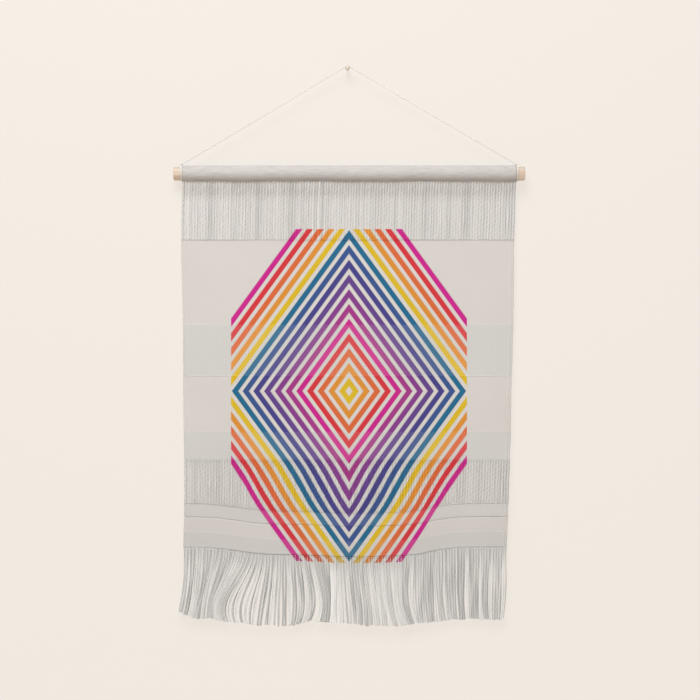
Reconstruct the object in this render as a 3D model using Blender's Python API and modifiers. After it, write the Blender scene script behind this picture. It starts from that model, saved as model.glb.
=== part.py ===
"""A textile wall hanging on a wooden dowel, held by a cord over a nail.

Units are metres and +Z is up. The wall is the plane Y = 0 and the cloth hangs in front of it, towards -Y.
The origin is where the axis of the nail crosses the wall.

The cloth is one piece: a pocket round the dowel and, under it, a sheet that hangs in soft waves. Two bands
of the sheet are bare warp yarns, raised here as ribs. The same yarns leave the lower edge as a fringe.
"""

import math
import random
from collections import namedtuple

import bmesh
import bpy
from mathutils import Vector

# Sizes are in metres. The tables' rows are in millimetres and are read with MM.
MM = 0.001
GAP = 0.3 * MM
MERGE_DISTANCE = 0.01 * MM
QUARTER_TURN = 0.5 * math.pi
SEED = 41

# Nail
NAIL_HEAD_RADIUS = 3.2 * MM
NAIL_HEAD_HEIGHT = 2.4 * MM
NAIL_RIM_HEIGHT = 0.8 * MM
NAIL_BACK_RADIUS = 3.0 * MM
NAIL_SHANK_RADIUS = 1.5 * MM
NAIL_STAND_OFF = 12.4 * MM
NAIL_IN_WALL = 17.0 * MM
NAIL_TIP_LENGTH = 4.0 * MM
NAIL_STEPS = 20
NAIL_DOME_POINTS = 5

# Dowel
ROD_LENGTH = 409.0 * MM
ROD_RADIUS = 8.25 * MM
ROD_CENTRE = Vector((2.0 * MM, -11.0 * MM, -123.4 * MM))
ROD_EDGE_ROUND = 1.2 * MM
ROD_EDGE_STEPS = 2
ROD_SIDES = 32
ROD_SMOOTH_ANGLE = math.radians(30.0)
ROD_EDGE_ANGLE = math.radians(60.0)

# Cord and its two knotted ties
CORD_RADIUS = 0.6 * MM
CORD_STEPS = 2
TIE_CENTRES = {"cord_tie_left": -193.2 * MM, "cord_tie_right": 197.3 * MM}
TIE_STEPS = 24
TIE_GROOVE = 0.33 * MM
KNOT_RADIUS = 1.5 * MM
KNOT_RISE = 0.9 * MM

RoutePoint = namedtuple("RoutePoint", "across height")
CORD_ROUTE = (
    RoutePoint(-191.66, -111.83),
    RoutePoint(-186.0, -108.5),
    RoutePoint(-168.0, -97.9),
    RoutePoint(-140.0, -81.3),
    RoutePoint(-105.0, -60.5),
    RoutePoint(-70.0, -39.5),
    RoutePoint(-40.0, -21.5),
    RoutePoint(-18.0, -8.15),
    RoutePoint(-7.0, -1.45),
    RoutePoint(-3.2, 0.88),
    RoutePoint(-1.6, 1.8),
    RoutePoint(0.0, 2.42),
    RoutePoint(1.6, 1.8),
    RoutePoint(3.2, 0.9),
    RoutePoint(7.0, -1.34),
    RoutePoint(18.0, -7.82),
    RoutePoint(40.0, -20.8),
    RoutePoint(70.0, -38.5),
    RoutePoint(105.0, -59.1),
    RoutePoint(142.0, -80.7),
    RoutePoint(172.0, -98.1),
    RoutePoint(190.0, -108.5),
    RoutePoint(195.76, -111.83),
)

# Pocket of the cloth, round the dowel
POCKET_LEFT = -191.7 * MM
POCKET_RIGHT = 195.8 * MM
POCKET_WALL = 1.2 * MM
POCKET_STATIONS = 28
POCKET_SIDES = 24
POCKET_SLACK_BELOW = 0.45 * MM
POCKET_SLACK_ABOVE = 0.05 * MM
POCKET_WAVE_LENGTHS = (145.0 * MM, 61.0 * MM)
POCKET_WAVE_PHASES = (0.6, 2.0)

# Sheet of the cloth
SHEET_THICKNESS = 1.6 * MM
SHEET_BACK_SET = 2.5 * MM
SHEET_COLUMNS = 30
SHEET_TOP = 134.6 * MM
SHEET_BOTTOM = 558.6 * MM
WAVE_DEPTH = 1.6 * MM
WAVE_LENGTHS = (188.0 * MM, 83.0 * MM)
WAVE_PHASES = (0.7, 2.1)
WAVE_SHARES = (0.6, 0.4)
WAVE_FULL_AT = 400.0 * MM
BOW_DEPTH = 2.0 * MM
SAG_START = 458.0 * MM
SAG_FULL = 506.0 * MM

# Warp yarns, seen in the two open bands and in the fringe
YARNS = 120
RIB_HEIGHT = 0.8 * MM
RIB_UNEVEN = 0.3
BUNCH_SHIFT = 0.9 * MM
BUNCH_LENGTHS = (31.0 * MM, 13.5 * MM)
BUNCH_PHASES = (0.4, 1.1)

Level = namedtuple("Level", "drop left right ribbed bunched")
LEVELS = (
    Level(134.6, -192.6, 195.9, False, 0.0),
    Level(136.4, -193.0, 195.9, True, 0.0),
    Level(165.0, -194.0, 195.2, True, 1.0),
    Level(198.6, -194.1, 194.3, True, 0.0),
    Level(200.7, -194.1, 194.2, False, 0.0),
    Level(233.0, -193.3, 194.1, False, 0.0),
    Level(266.0, -192.6, 193.8, False, 0.0),
    Level(299.8, -191.9, 193.2, False, 0.0),
    Level(329.0, -191.8, 192.5, False, 0.0),
    Level(359.2, -191.8, 191.4, False, 0.0),
    Level(391.0, -191.6, 190.8, False, 0.0),
    Level(424.5, -190.9, 190.6, False, 0.0),
    Level(457.0, -190.6, 189.4, False, 0.0),
    Level(459.0, -190.6, 189.4, True, 0.0),
    Level(482.0, -190.6, 188.3, True, 1.0),
    Level(504.2, -190.6, 187.6, True, 0.0),
    Level(506.2, -190.6, 187.6, False, 0.0),
    Level(523.6, -190.6, 187.2, False, 0.0),
    Level(541.1, -191.2, 186.4, False, 0.0),
    Level(558.6, -191.8, 185.6, False, 0.0),
)

Sag = namedtuple("Sag", "across drop")
SAGS = (
    Sag(-200.0, 0.0),
    Sag(-165.0, 0.5),
    Sag(-137.0, 3.1),
    Sag(-113.0, 6.6),
    Sag(-92.0, 8.3),
    Sag(-50.0, 9.4),
    Sag(0.0, 11.0),
    Sag(50.0, 10.4),
    Sag(83.0, 8.0),
    Sag(99.0, 4.6),
    Sag(115.0, 2.3),
    Sag(132.0, 0.7),
    Sag(160.0, 0.0),
    Sag(200.0, 0.0),
)

# Fringe
FRINGE_LEFT = -191.0 * MM
FRINGE_RIGHT = 184.6 * MM
STRIP_HEIGHT = 3.5 * MM
STRAND_ROOT_WIDTH = 2.6 * MM
STRAND_TIP_WIDTH = 2.2 * MM
STRAND_ROOT_DEPTH = 1.6 * MM
STRAND_TIP_DEPTH = 1.2 * MM
STRAND_LEVELS = (0.0, 0.16, 0.34, 0.54, 0.77, 1.0)
STRANDS_IN_LOCK = 4
LOCK_GATHER = 0.10
LAYER_SHIFT = 0.95 * MM
LAYER_FULL_AT = 0.3
TIP_UNEVEN = 1.2 * MM
BELLY_AT = 0.57

Lock = namedtuple("Lock", "across belly tip reach")
LOCKS = (
    Lock(-191.0, -1.5, -6.5, 634.5),
    Lock(-176.0, -2.5, -9.0, 638.5),
    Lock(-164.0, -4.5, -11.5, 641.5),
    Lock(-138.0, -14.0, -19.0, 642.5),
    Lock(-118.0, -21.0, -25.5, 645.0),
    Lock(-105.0, -15.0, -18.0, 648.0),
    Lock(-94.0, -6.0, -12.0, 649.5),
    Lock(-73.0, 0.0, 0.0, 650.0),
    Lock(-60.0, 3.5, 0.0, 649.0),
    Lock(-45.0, 7.5, 2.5, 645.5),
    Lock(-40.0, 9.0, 6.5, 646.5),
    Lock(-19.0, 0.5, 0.0, 647.0),
    Lock(-3.0, 3.0, 5.5, 647.5),
    Lock(22.0, 4.5, 7.5, 650.5),
    Lock(47.0, 3.5, 11.0, 650.5),
    Lock(70.0, -1.5, 5.5, 648.5),
    Lock(91.0, 0.0, 2.5, 646.5),
    Lock(112.0, 0.0, 3.5, 644.5),
    Lock(139.0, 0.0, 1.0, 643.0),
    Lock(165.0, -2.0, -1.0, 643.5),
    Lock(184.6, 0.5, -2.5, 643.0),
)

# Colours and shine
Finish = namedtuple("Finish", "colour roughness metallic")
FINISHES = {
    "dowel": Finish((0.72, 0.55, 0.37), 0.55, 0.0),
    "cloth": Finish((0.66, 0.61, 0.57), 0.90, 0.0),
    "fringe": Finish((0.62, 0.59, 0.55), 0.92, 0.0),
    "cord": Finish((0.80, 0.77, 0.72), 0.85, 0.0),
    "nail": Finish((0.74, 0.68, 0.59), 0.35, 0.0),
}


def clear_scene():
    """Removes the objects that the scene holds."""
    for item in list(bpy.data.objects):
        bpy.data.objects.remove(item, do_unlink=True)


def new_collection(name):
    """Makes a collection under the scene's own."""
    collection = bpy.data.collections.new(name)
    bpy.context.scene.collection.children.link(collection)
    return collection


def new_material(name, finish):
    """Makes a plain Principled material."""
    material = bpy.data.materials.new(name)
    material.use_nodes = True
    shader = material.node_tree.nodes["Principled BSDF"]
    shader.inputs["Base Color"].default_value = (*finish.colour, 1.0)
    shader.inputs["Roughness"].default_value = finish.roughness
    shader.inputs["Metallic"].default_value = finish.metallic
    return material


def place(name, data, collection, finish_name):
    """Makes the object of a piece and gives it a material of its own."""
    item = bpy.data.objects.new(name, data)
    collection.objects.link(item)
    data.materials.append(new_material(name, FINISHES[finish_name]))
    return item


def place_guide(name, mesh, collection):
    """Makes an object that only shapes another one."""
    item = bpy.data.objects.new(name, mesh)
    collection.objects.link(item)
    item.hide_render = True
    item.display_type = "WIRE"
    return item


def smooth(share):
    """Eases a share from 0 to 1, and holds it there on both sides."""
    held = min(1.0, max(0.0, share))
    return held * held * (3.0 - 2.0 * held)


def read_table(table, column, across):
    """Reads a column of a table, in metres, on a smooth curve through its rows."""
    places = [row.across * MM for row in table]
    values = [getattr(row, column) * MM for row in table]
    last = len(table) - 1
    index = 0
    while index < last - 1 and across > places[index + 1]:
        index += 1

    def slope(at):
        before, after = max(at - 1, 0), min(at + 1, last)
        return (values[after] - values[before]) / (places[after] - places[before])

    span = places[index + 1] - places[index]
    share = min(1.0, max(0.0, (across - places[index]) / span))
    square, cube = share**2, share**3
    return (
        (2 * cube - 3 * square + 1) * values[index]
        + (cube - 2 * square + share) * span * slope(index)
        + (3 * square - 2 * cube) * values[index + 1]
        + (cube - square) * span * slope(index + 1)
    )


def waves(across, lengths, phases):
    """Adds a long and a short wave, as a number between -1 and 1."""
    return sum(
        share * math.sin(math.tau * across / length + phase)
        for share, length, phase in zip(WAVE_SHARES, lengths, phases)
    )


def sag(across, drop):
    """How far the middle of the cloth hangs lower, past the second open band."""
    share = smooth((drop - SAG_START) / (SAG_FULL - SAG_START))
    return share * read_table(SAGS, "drop", across)


def sheet_depth(across, drop):
    """Where the middle of the sheet's thickness lies in front of the wall."""
    growth = smooth((drop - SHEET_TOP) / (WAVE_FULL_AT - SHEET_TOP))
    wave = WAVE_DEPTH * growth * waves(across, WAVE_LENGTHS, WAVE_PHASES)
    bow = BOW_DEPTH * sag(across, drop) / read_table(SAGS, "drop", 0.0)
    return ROD_CENTRE.y + SHEET_BACK_SET - wave - bow


def across_at(left, right, share):
    """The place at a share of the way from left to right."""
    return left + share * (right - left)


def stitch(faces, upper, lower):
    """Fills the strip between two rows of (share, vertex), whose counts may differ."""
    above, below = 0, 0
    while above < len(upper) - 1 or below < len(lower) - 1:
        next_above = upper[above + 1][0] if above < len(upper) - 1 else math.inf
        next_below = lower[below + 1][0] if below < len(lower) - 1 else math.inf
        if next_above < next_below:
            faces.append((upper[above][1], lower[below][1], upper[above + 1][1]))
            above += 1
        else:
            faces.append((upper[above][1], lower[below][1], lower[below + 1][1]))
            below += 1


def mesh_from(name, points, faces):
    """Makes a mesh whose faces all point out."""
    mesh = bpy.data.meshes.new(name)
    mesh.from_pydata(points, [], faces)
    form = bmesh.new()
    form.from_mesh(mesh)
    bmesh.ops.recalc_face_normals(form, faces=form.faces)
    form.to_mesh(mesh)
    form.free()
    return mesh


def profile_mesh(name, profile, closed):
    """Makes the edges of a profile of (radius, height), to be turned round the Z axis."""
    mesh = bpy.data.meshes.new(name)
    points = [(radius, 0.0, height) for radius, height in profile]
    edges = [(i, i + 1) for i in range(len(points) - 1)]
    if closed:
        edges.append((len(points) - 1, 0))
    mesh.from_pydata(points, edges, [])
    return mesh


def add_turning(item, steps):
    """Turns an object's profile once round its Z axis."""
    screw = item.modifiers.new("turning", "SCREW")
    screw.steps = steps
    screw.render_steps = steps
    screw.use_merge_vertices = True
    screw.merge_threshold = MERGE_DISTANCE
    screw.use_smooth_shade = True


def add_boolean(item, other, operation):
    """Joins or cuts an object with another one."""
    boolean = item.modifiers.new(operation.lower(), "BOOLEAN")
    boolean.object = other
    boolean.operation = operation
    boolean.solver = "EXACT"


def cylinder_mesh(name, radius, length, sides):
    """A plain cylinder about the Z axis."""
    form = bmesh.new()
    bmesh.ops.create_cone(
        form,
        cap_ends=True,
        segments=sides,
        radius1=radius,
        radius2=radius,
        depth=length,
    )
    mesh = bpy.data.meshes.new(name)
    form.to_mesh(mesh)
    form.free()
    return mesh


def make_nail(parts):
    """A round nail with a domed head, its tip in the wall."""
    top = NAIL_STAND_OFF + NAIL_HEAD_HEIGHT
    rim = NAIL_STAND_OFF + NAIL_RIM_HEIGHT
    profile = []
    for step in range(NAIL_DOME_POINTS):
        turn = QUARTER_TURN * step / NAIL_DOME_POINTS
        profile.append((NAIL_HEAD_RADIUS * math.sin(turn), rim + (top - rim) * math.cos(turn)))
    profile += [
        (NAIL_HEAD_RADIUS, rim),
        (NAIL_BACK_RADIUS, NAIL_STAND_OFF),
        (NAIL_SHANK_RADIUS, NAIL_STAND_OFF),
        (NAIL_SHANK_RADIUS, NAIL_TIP_LENGTH - NAIL_IN_WALL),
        (0.0, -NAIL_IN_WALL),
    ]
    nail = place("nail", profile_mesh("nail", profile, closed=False), parts, "nail")
    nail.rotation_euler.x = QUARTER_TURN
    add_turning(nail, NAIL_STEPS)


def make_dowel(parts):
    """A round wooden rod with softened end edges."""
    mesh = cylinder_mesh("dowel", ROD_RADIUS, ROD_LENGTH, ROD_SIDES)
    mesh.shade_smooth()
    mesh.set_sharp_from_angle(angle=ROD_SMOOTH_ANGLE)
    dowel = place("dowel", mesh, parts, "dowel")
    dowel.location = ROD_CENTRE
    dowel.rotation_euler.y = QUARTER_TURN
    bevel = dowel.modifiers.new("softened_ends", "BEVEL")
    bevel.width = ROD_EDGE_ROUND
    bevel.segments = ROD_EDGE_STEPS
    bevel.limit_method = "ANGLE"
    bevel.angle_limit = ROD_EDGE_ANGLE


def cord_points():
    """Reads points from a smooth curve through the cord's route."""
    route = [Vector((p.across * MM, ROD_CENTRE.y, p.height * MM)) for p in CORD_ROUTE]
    ends = [2 * route[0] - route[1]] + route + [2 * route[-1] - route[-2]]
    points = []
    for index in range(1, len(ends) - 2):
        before, start, end, after = ends[index - 1 : index + 3]
        for step in range(CORD_STEPS):
            share = step / CORD_STEPS
            pull = (end - before) * share
            bend = (2 * before - 5 * start + 4 * end - after) * share**2
            turn = (3 * start - before - 3 * end + after) * share**3
            points.append(start + 0.5 * (pull + bend + turn))
    points.append(route[-1])
    return points


def make_cord(parts):
    """The cord from one tie, over the shank of the nail, to the other tie."""
    curve = bpy.data.curves.new("hanging_cord", "CURVE")
    curve.dimensions = "3D"
    curve.bevel_depth = CORD_RADIUS
    curve.bevel_resolution = 2
    curve.use_fill_caps = True
    points = cord_points()
    spline = curve.splines.new("POLY")
    spline.points.add(len(points) - 1)
    for point, target in zip(points, spline.points):
        target.co = (*point, 1.0)
    place("hanging_cord", curve, parts, "cord")


def tie_profile():
    """The outline of two turns of cord that lie side by side, as (radius, height)."""
    inner = ROD_RADIUS + GAP
    middle = inner + CORD_RADIUS
    outer = inner + 2 * CORD_RADIUS
    half = 2 * CORD_RADIUS
    shoulder = CORD_RADIUS * math.sin(0.5 * QUARTER_TURN)
    upper = [
        (inner, half),
        (middle, half),
        (middle + shoulder, CORD_RADIUS + shoulder),
        (outer, CORD_RADIUS),
        (middle + TIE_GROOVE, 0.0),
    ]
    lower = [(radius, -height) for radius, height in reversed(upper[:-1])]
    return upper + lower


def make_tie(parts, guides, name, across):
    """Two turns of the cord round the dowel, with the knot on top."""
    tie = place(name, profile_mesh(name, tie_profile(), closed=True), parts, "cord")
    tie.location = (across, ROD_CENTRE.y, ROD_CENTRE.z)
    tie.rotation_euler.y = QUARTER_TURN
    add_turning(tie, TIE_STEPS)
    form = bmesh.new()
    bmesh.ops.create_icosphere(form, subdivisions=2, radius=KNOT_RADIUS)
    knot_mesh = bpy.data.meshes.new(name + "_knot")
    form.to_mesh(knot_mesh)
    form.free()
    knot = place_guide(name + "_knot", knot_mesh, guides)
    height = ROD_CENTRE.z + ROD_RADIUS + GAP + 2 * CORD_RADIUS + KNOT_RISE
    knot.location = (across, ROD_CENTRE.y, height)
    add_boolean(tie, knot, "UNION")


def pocket_mesh():
    """The outside of the pocket, a little slack on its lower side."""
    radius = ROD_RADIUS + GAP + POCKET_WALL
    points = []
    for station in range(POCKET_STATIONS + 1):
        across = across_at(POCKET_LEFT, POCKET_RIGHT, station / POCKET_STATIONS)
        slack = 0.5 + 0.5 * waves(across, POCKET_WAVE_LENGTHS, POCKET_WAVE_PHASES)
        for side in range(POCKET_SIDES):
            turn = math.tau * side / POCKET_SIDES
            lowness = 0.5 - 0.5 * math.cos(turn)
            reach = radius + slack * across_at(POCKET_SLACK_ABOVE, POCKET_SLACK_BELOW, lowness)
            points.append(
                (
                    across,
                    ROD_CENTRE.y + reach * math.sin(turn),
                    ROD_CENTRE.z + reach * math.cos(turn),
                )
            )
    faces = []
    for station in range(POCKET_STATIONS):
        for side in range(POCKET_SIDES):
            here = station * POCKET_SIDES
            there = here + POCKET_SIDES
            after = (side + 1) % POCKET_SIDES
            faces.append((here + side, here + after, there + after, there + side))
    last = POCKET_STATIONS * POCKET_SIDES
    faces.append(tuple(range(POCKET_SIDES)))
    faces.append(tuple(range(last, last + POCKET_SIDES)))
    return mesh_from("cloth", points, faces)


def root_row(points):
    """The sheet's top row, inside the wall of the pocket, as front and back rows."""
    radius = ROD_RADIUS + GAP + 0.5 * POCKET_WALL
    rows = []
    for side in (-1.0, 1.0):
        offset = SHEET_BACK_SET + 0.5 * side * SHEET_THICKNESS
        height = ROD_CENTRE.z - math.sqrt(radius**2 - offset**2)
        row = []
        for column in range(SHEET_COLUMNS + 1):
            share = column / SHEET_COLUMNS
            across = across_at(POCKET_LEFT + POCKET_WALL, POCKET_RIGHT - POCKET_WALL, share)
            points.append((across, ROD_CENTRE.y + offset, height))
            row.append((share, len(points) - 1))
        rows.append(row)
    return rows


def sheet_row(points, level, side, columns, heights):
    """A row of the sheet's front (side -1) or back (side 1), ribbed where the yarns are bare."""
    row = []
    for column in range(columns + 1):
        share = column / columns
        across = across_at(level.left * MM, level.right * MM, share)
        if level.ribbed and side < 0.0 and 0 < column < columns:
            bunch = waves(across, BUNCH_LENGTHS, BUNCH_PHASES)
            across += level.bunched * BUNCH_SHIFT * bunch
        drop = level.drop * MM + sag(across, level.drop * MM)
        depth = sheet_depth(across, level.drop * MM) + 0.5 * side * SHEET_THICKNESS
        if columns == 2 * YARNS and column % 2:
            depth -= heights[column // 2]
        points.append((across, depth, -drop))
        row.append((share, len(points) - 1))
    return row


def sheet_mesh():
    """The hanging sheet: level by level, a front row and a back row, stitched together."""
    chance = random.Random(SEED)
    heights = [RIB_HEIGHT * (1.0 + chance.uniform(-RIB_UNEVEN, RIB_UNEVEN)) for _ in range(YARNS)]
    points, faces = [], []
    front, back = root_row(points)
    stitch(faces, back, front)
    for level in LEVELS:
        columns = 2 * YARNS if level.ribbed else SHEET_COLUMNS
        next_front = sheet_row(points, level, -1.0, columns, heights)
        next_back = sheet_row(points, level, 1.0, SHEET_COLUMNS, heights)
        stitch(faces, front, next_front)
        stitch(faces, next_back, back)
        for end in (0, -1):
            faces.append((front[end][1], next_front[end][1], next_back[end][1], back[end][1]))
        front, back = next_front, next_back
    stitch(faces, front, back)
    return mesh_from("hanging_sheet", points, faces)


def make_cloth(parts, guides):
    """The pocket and the sheet as one cloth, with the bore for the dowel."""
    cloth = place("cloth", pocket_mesh(), parts, "cloth")
    sheet = place_guide("hanging_sheet", sheet_mesh(), guides)
    bore_mesh = cylinder_mesh("pocket_bore", ROD_RADIUS + GAP, ROD_LENGTH, ROD_SIDES)
    bore = place_guide("pocket_bore", bore_mesh, guides)
    bore.location = ROD_CENTRE
    bore.rotation_euler.y = QUARTER_TURN
    add_boolean(cloth, sheet, "UNION")
    add_boolean(cloth, bore, "DIFFERENCE")


def strand_shift(across, share):
    """How far a strand has swayed sideways at a share of its length."""
    belly = read_table(LOCKS, "belly", across)
    tip = read_table(LOCKS, "tip", across)
    cubic = (tip - belly / BELLY_AT**2) / (1.0 - BELLY_AT)
    return share**2 * (tip - cubic + cubic * share)


def strand_section(index, share, chance_tip):
    """The corners of a strand's three-sided section: front, back left, back right."""
    pitch = (FRINGE_RIGHT - FRINGE_LEFT) / YARNS
    root = FRINGE_LEFT + (index + 0.5) * pitch
    in_lock = index % STRANDS_IN_LOCK - 0.5 * (STRANDS_IN_LOCK - 1)
    centre = root + strand_shift(root, share) - share * LOCK_GATHER * in_lock * pitch
    top = strip_bottom(root)
    reach = read_table(LOCKS, "reach", root) + chance_tip
    height = -(top + share * (reach - top))
    layer = LAYER_SHIFT if index % 2 else -LAYER_SHIFT
    depth = sheet_depth(root, SHEET_BOTTOM) + layer * smooth(share / LAYER_FULL_AT)
    half_width = 0.5 * across_at(STRAND_ROOT_WIDTH, STRAND_TIP_WIDTH, share)
    half_depth = 0.5 * across_at(STRAND_ROOT_DEPTH, STRAND_TIP_DEPTH, share)
    return (
        (centre, depth - half_depth, height),
        (centre - half_width, depth + half_depth, height),
        (centre + half_width, depth + half_depth, height),
    )


def strip_bottom(across):
    """How far below the nail the lower side of the fringe's strip lies."""
    return SHEET_BOTTOM + sag(across, SHEET_BOTTOM) + GAP + STRIP_HEIGHT


def strip_point(across, drop, side):
    """A point on the front (side -1) or back (side 1) of the fringe's strip."""
    depth = sheet_depth(across, SHEET_BOTTOM) + 0.5 * side * STRAND_ROOT_DEPTH
    return (across, depth, -drop)


def fringe_mesh():
    """The fringe: a narrow strip, and the yarns that hang from its lower side."""
    chance = random.Random(SEED)
    points, faces = [], []

    def add(point):
        points.append(point)
        return len(points) - 1

    top_rows = []
    bottom_rows = []
    for side in (-1.0, 1.0):
        row = []
        for column in range(SHEET_COLUMNS + 1):
            share = column / SHEET_COLUMNS
            across = across_at(FRINGE_LEFT, FRINGE_RIGHT, share)
            drop = strip_bottom(across) - STRIP_HEIGHT
            row.append((share, add(strip_point(across, drop, side))))
        top_rows.append(row)
        corner = strip_point(FRINGE_LEFT, strip_bottom(FRINGE_LEFT), side)
        bottom_rows.append([(0.0, add(corner))])

    roots = []
    for index in range(YARNS):
        share = (index + 0.5) / YARNS
        tip_change = chance.uniform(-TIP_UNEVEN, TIP_UNEVEN)
        half_share = 0.25 / YARNS
        section = [add(corner) for corner in strand_section(index, 0.0, tip_change)]
        roots.append(section)
        bottom_rows[0].append((share, section[0]))
        bottom_rows[1].append((share - half_share, section[1]))
        bottom_rows[1].append((share + half_share, section[2]))
        for level in STRAND_LEVELS[1:]:
            lower = [add(corner) for corner in strand_section(index, level, tip_change)]
            for here in range(3):
                there = (here + 1) % 3
                faces.append((section[here], section[there], lower[there], lower[here]))
            section = lower
        faces.append(tuple(section))

    for side, row in zip((-1.0, 1.0), bottom_rows):
        corner = strip_point(FRINGE_RIGHT, strip_bottom(FRINGE_RIGHT), side)
        row.append((1.0, add(corner)))
    stitch(faces, top_rows[0], bottom_rows[0])
    stitch(faces, bottom_rows[1], top_rows[1])
    stitch(faces, top_rows[1], top_rows[0])
    for end in (0, -1):
        faces.append(
            (top_rows[0][end][1], bottom_rows[0][end][1], bottom_rows[1][end][1], top_rows[1][end][1])
        )
    left_pair = (bottom_rows[0][0][1], bottom_rows[1][0][1])
    for front, back_left, back_right in roots:
        faces.append((left_pair[0], left_pair[1], back_left, front))
        left_pair = (front, back_right)
    faces.append((left_pair[0], left_pair[1], bottom_rows[1][-1][1], bottom_rows[0][-1][1]))
    return mesh_from("fringe", points, faces)


def main():
    """Builds the wall hanging."""
    clear_scene()
    parts = new_collection("textile_wall_hanging")
    guides = new_collection("guides")
    make_nail(parts)
    make_dowel(parts)
    make_cord(parts)
    for name, across in TIE_CENTRES.items():
        make_tie(parts, guides, name, across)
    make_cloth(parts, guides)
    place("fringe", fringe_mesh(), parts, "fringe")


main()
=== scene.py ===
"""The looks of a textile wall hanging on a wooden dowel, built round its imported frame.

Units are metres, +Z is up and the wall is the plane Y = 0. The origin is where the axis of the nail crosses
the wall. "Drop" is the distance below the nail, measured on the cloth before its middle sags. The rows of the
tables are in millimetres.
"""

import logging
import math
import random
from collections.abc import Callable, Iterable, Sequence
from dataclasses import dataclass
from enum import Enum
from functools import partialmethod
from typing import Any, NamedTuple

import bpy
import numpy as np
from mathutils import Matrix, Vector, noise


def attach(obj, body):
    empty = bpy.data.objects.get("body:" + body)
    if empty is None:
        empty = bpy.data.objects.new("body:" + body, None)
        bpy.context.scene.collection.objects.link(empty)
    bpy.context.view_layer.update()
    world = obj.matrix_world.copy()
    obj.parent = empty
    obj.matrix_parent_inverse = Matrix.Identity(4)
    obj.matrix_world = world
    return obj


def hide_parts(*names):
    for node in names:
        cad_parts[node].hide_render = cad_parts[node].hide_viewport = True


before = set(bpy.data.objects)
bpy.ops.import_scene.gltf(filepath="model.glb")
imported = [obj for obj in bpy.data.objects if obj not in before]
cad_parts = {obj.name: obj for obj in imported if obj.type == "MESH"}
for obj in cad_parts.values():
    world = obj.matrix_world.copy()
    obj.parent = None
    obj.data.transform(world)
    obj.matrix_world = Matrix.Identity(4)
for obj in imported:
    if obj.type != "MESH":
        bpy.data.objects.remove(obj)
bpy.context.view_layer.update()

LOG = logging.getLogger("wall_hanging")
MM = 0.001
SEED = 41
BODY = "root"
YARN_TREE = "twisted_yarn"
NO_SHIFT = (0.0, 0.0)
WHITE = (1.0, 1.0, 1.0, 1.0)
NOISE_RANGE = (0.3, 0.7)

Point = tuple[float, float, float]
Colour = tuple[float, float, float]
Piece = bpy.types.Object
Material = bpy.types.Material


class Weave(Enum):
    """The ways in which a band is woven, each as how coarse it is."""

    FINE = 0.0
    COARSE = 1.0


class Layer(Enum):
    """The two layers of bare warp yarns."""

    FRONT = "front"
    BACK = "back"


def smooth(share: float) -> float:
    """Eases a share from 0 to 1, and holds it there on both sides."""
    held = min(1.0, max(0.0, share))
    return held * held * (3.0 - 2.0 * held)


def between(low: float, high: float, share: float) -> float:
    """The value at a share of the way from low to high."""
    return low + share * (high - low)


def spaced(low: float, high: float, count: int) -> list[float]:
    """The ends of a range and the places that part it into a count of even steps."""
    return [between(low, high, step / count) for step in range(count + 1)]


def bump_at(place: float, centre: float, width: float) -> float:
    """A soft hump of height 1 round a centre, fallen to a third at its width."""
    return math.exp(-(((place - centre) / width) ** 2))


def linear(*channels: int) -> Colour:
    """Turns a colour of 0 to 255 a channel, as a screen shows it, into linear light."""
    return tuple(((channel / 255.0 + 0.055) / 1.055) ** 2.4 for channel in channels)


def table(kind: type, *rows: tuple) -> tuple:
    """Makes a table of one kind of row."""
    return tuple(kind(*row) for row in rows)


class Sag(NamedTuple):
    """How far the cloth sags at a place across it."""

    across: float
    drop: float


class Edge(NamedTuple):
    """The cloth's left and right edges at a drop."""

    drop: float
    left: float
    right: float


class Lock(NamedTuple):
    """The sway of the fringe at a place across it, and how low it reaches."""

    across: float
    belly: float
    tip: float
    reach: float


class Tress(NamedTuple):
    """A lock of fringe: the right edge of its tip, its tone, which is painted light on locks that stand forward
    and painted shade on those that lie back, and how far it stands forward.
    """

    edge: float
    tone: float
    forward: float


class Band(NamedTuple):
    """A woven band of the cloth."""

    top: float
    bottom: float
    weave: Weave


class Pick(NamedTuple):
    """A heavier weft yarn."""

    drop: float
    tone: float


class Streak(NamedTuple):
    """A few bare yarns painted lighter or darker: painted light on strands that stand forward, painted shade
    where the yarns part.
    """

    across: float
    width: float
    tone: float


class RoutePoint(NamedTuple):
    """A point on the route of the cord, seen from the nail."""

    across: float
    height: float


class GuidePoint(NamedTuple):
    """A point of a yarn's middle line, how far its print lies from it, and what the yarn has there."""

    place: Point
    print_shift: tuple[float, float]
    girth: float
    shade: float
    turn: float


def read_table(rows: Sequence[NamedTuple], column: str, across: float) -> float:
    """Reads a column of a table of millimetres on a smooth curve through its rows.

    Args:
        rows: rows with a place across and the column.
        column: the name of the column.
        across: the place, in metres.

    Returns:
        The value there, in metres.
    """
    places = [row.across * MM for row in rows]
    values = [getattr(row, column) * MM for row in rows]
    last = len(rows) - 1
    index = 0
    while index < last - 1 and across > places[index + 1]:
        index += 1

    def slope(at: int) -> float:
        """The slope of the curve at a row."""
        before, after = max(at - 1, 0), min(at + 1, last)
        return (values[after] - values[before]) / (places[after] - places[before])

    span = places[index + 1] - places[index]
    share = min(1.0, max(0.0, (across - places[index]) / span))
    square, cube = share**2, share**3
    return (
        (2 * cube - 3 * square + 1) * values[index]
        + (cube - 2 * square + share) * span * slope(index)
        + (3 * square - 2 * cube) * values[index + 1]
        + (cube - square) * span * slope(index + 1)
    )


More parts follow.
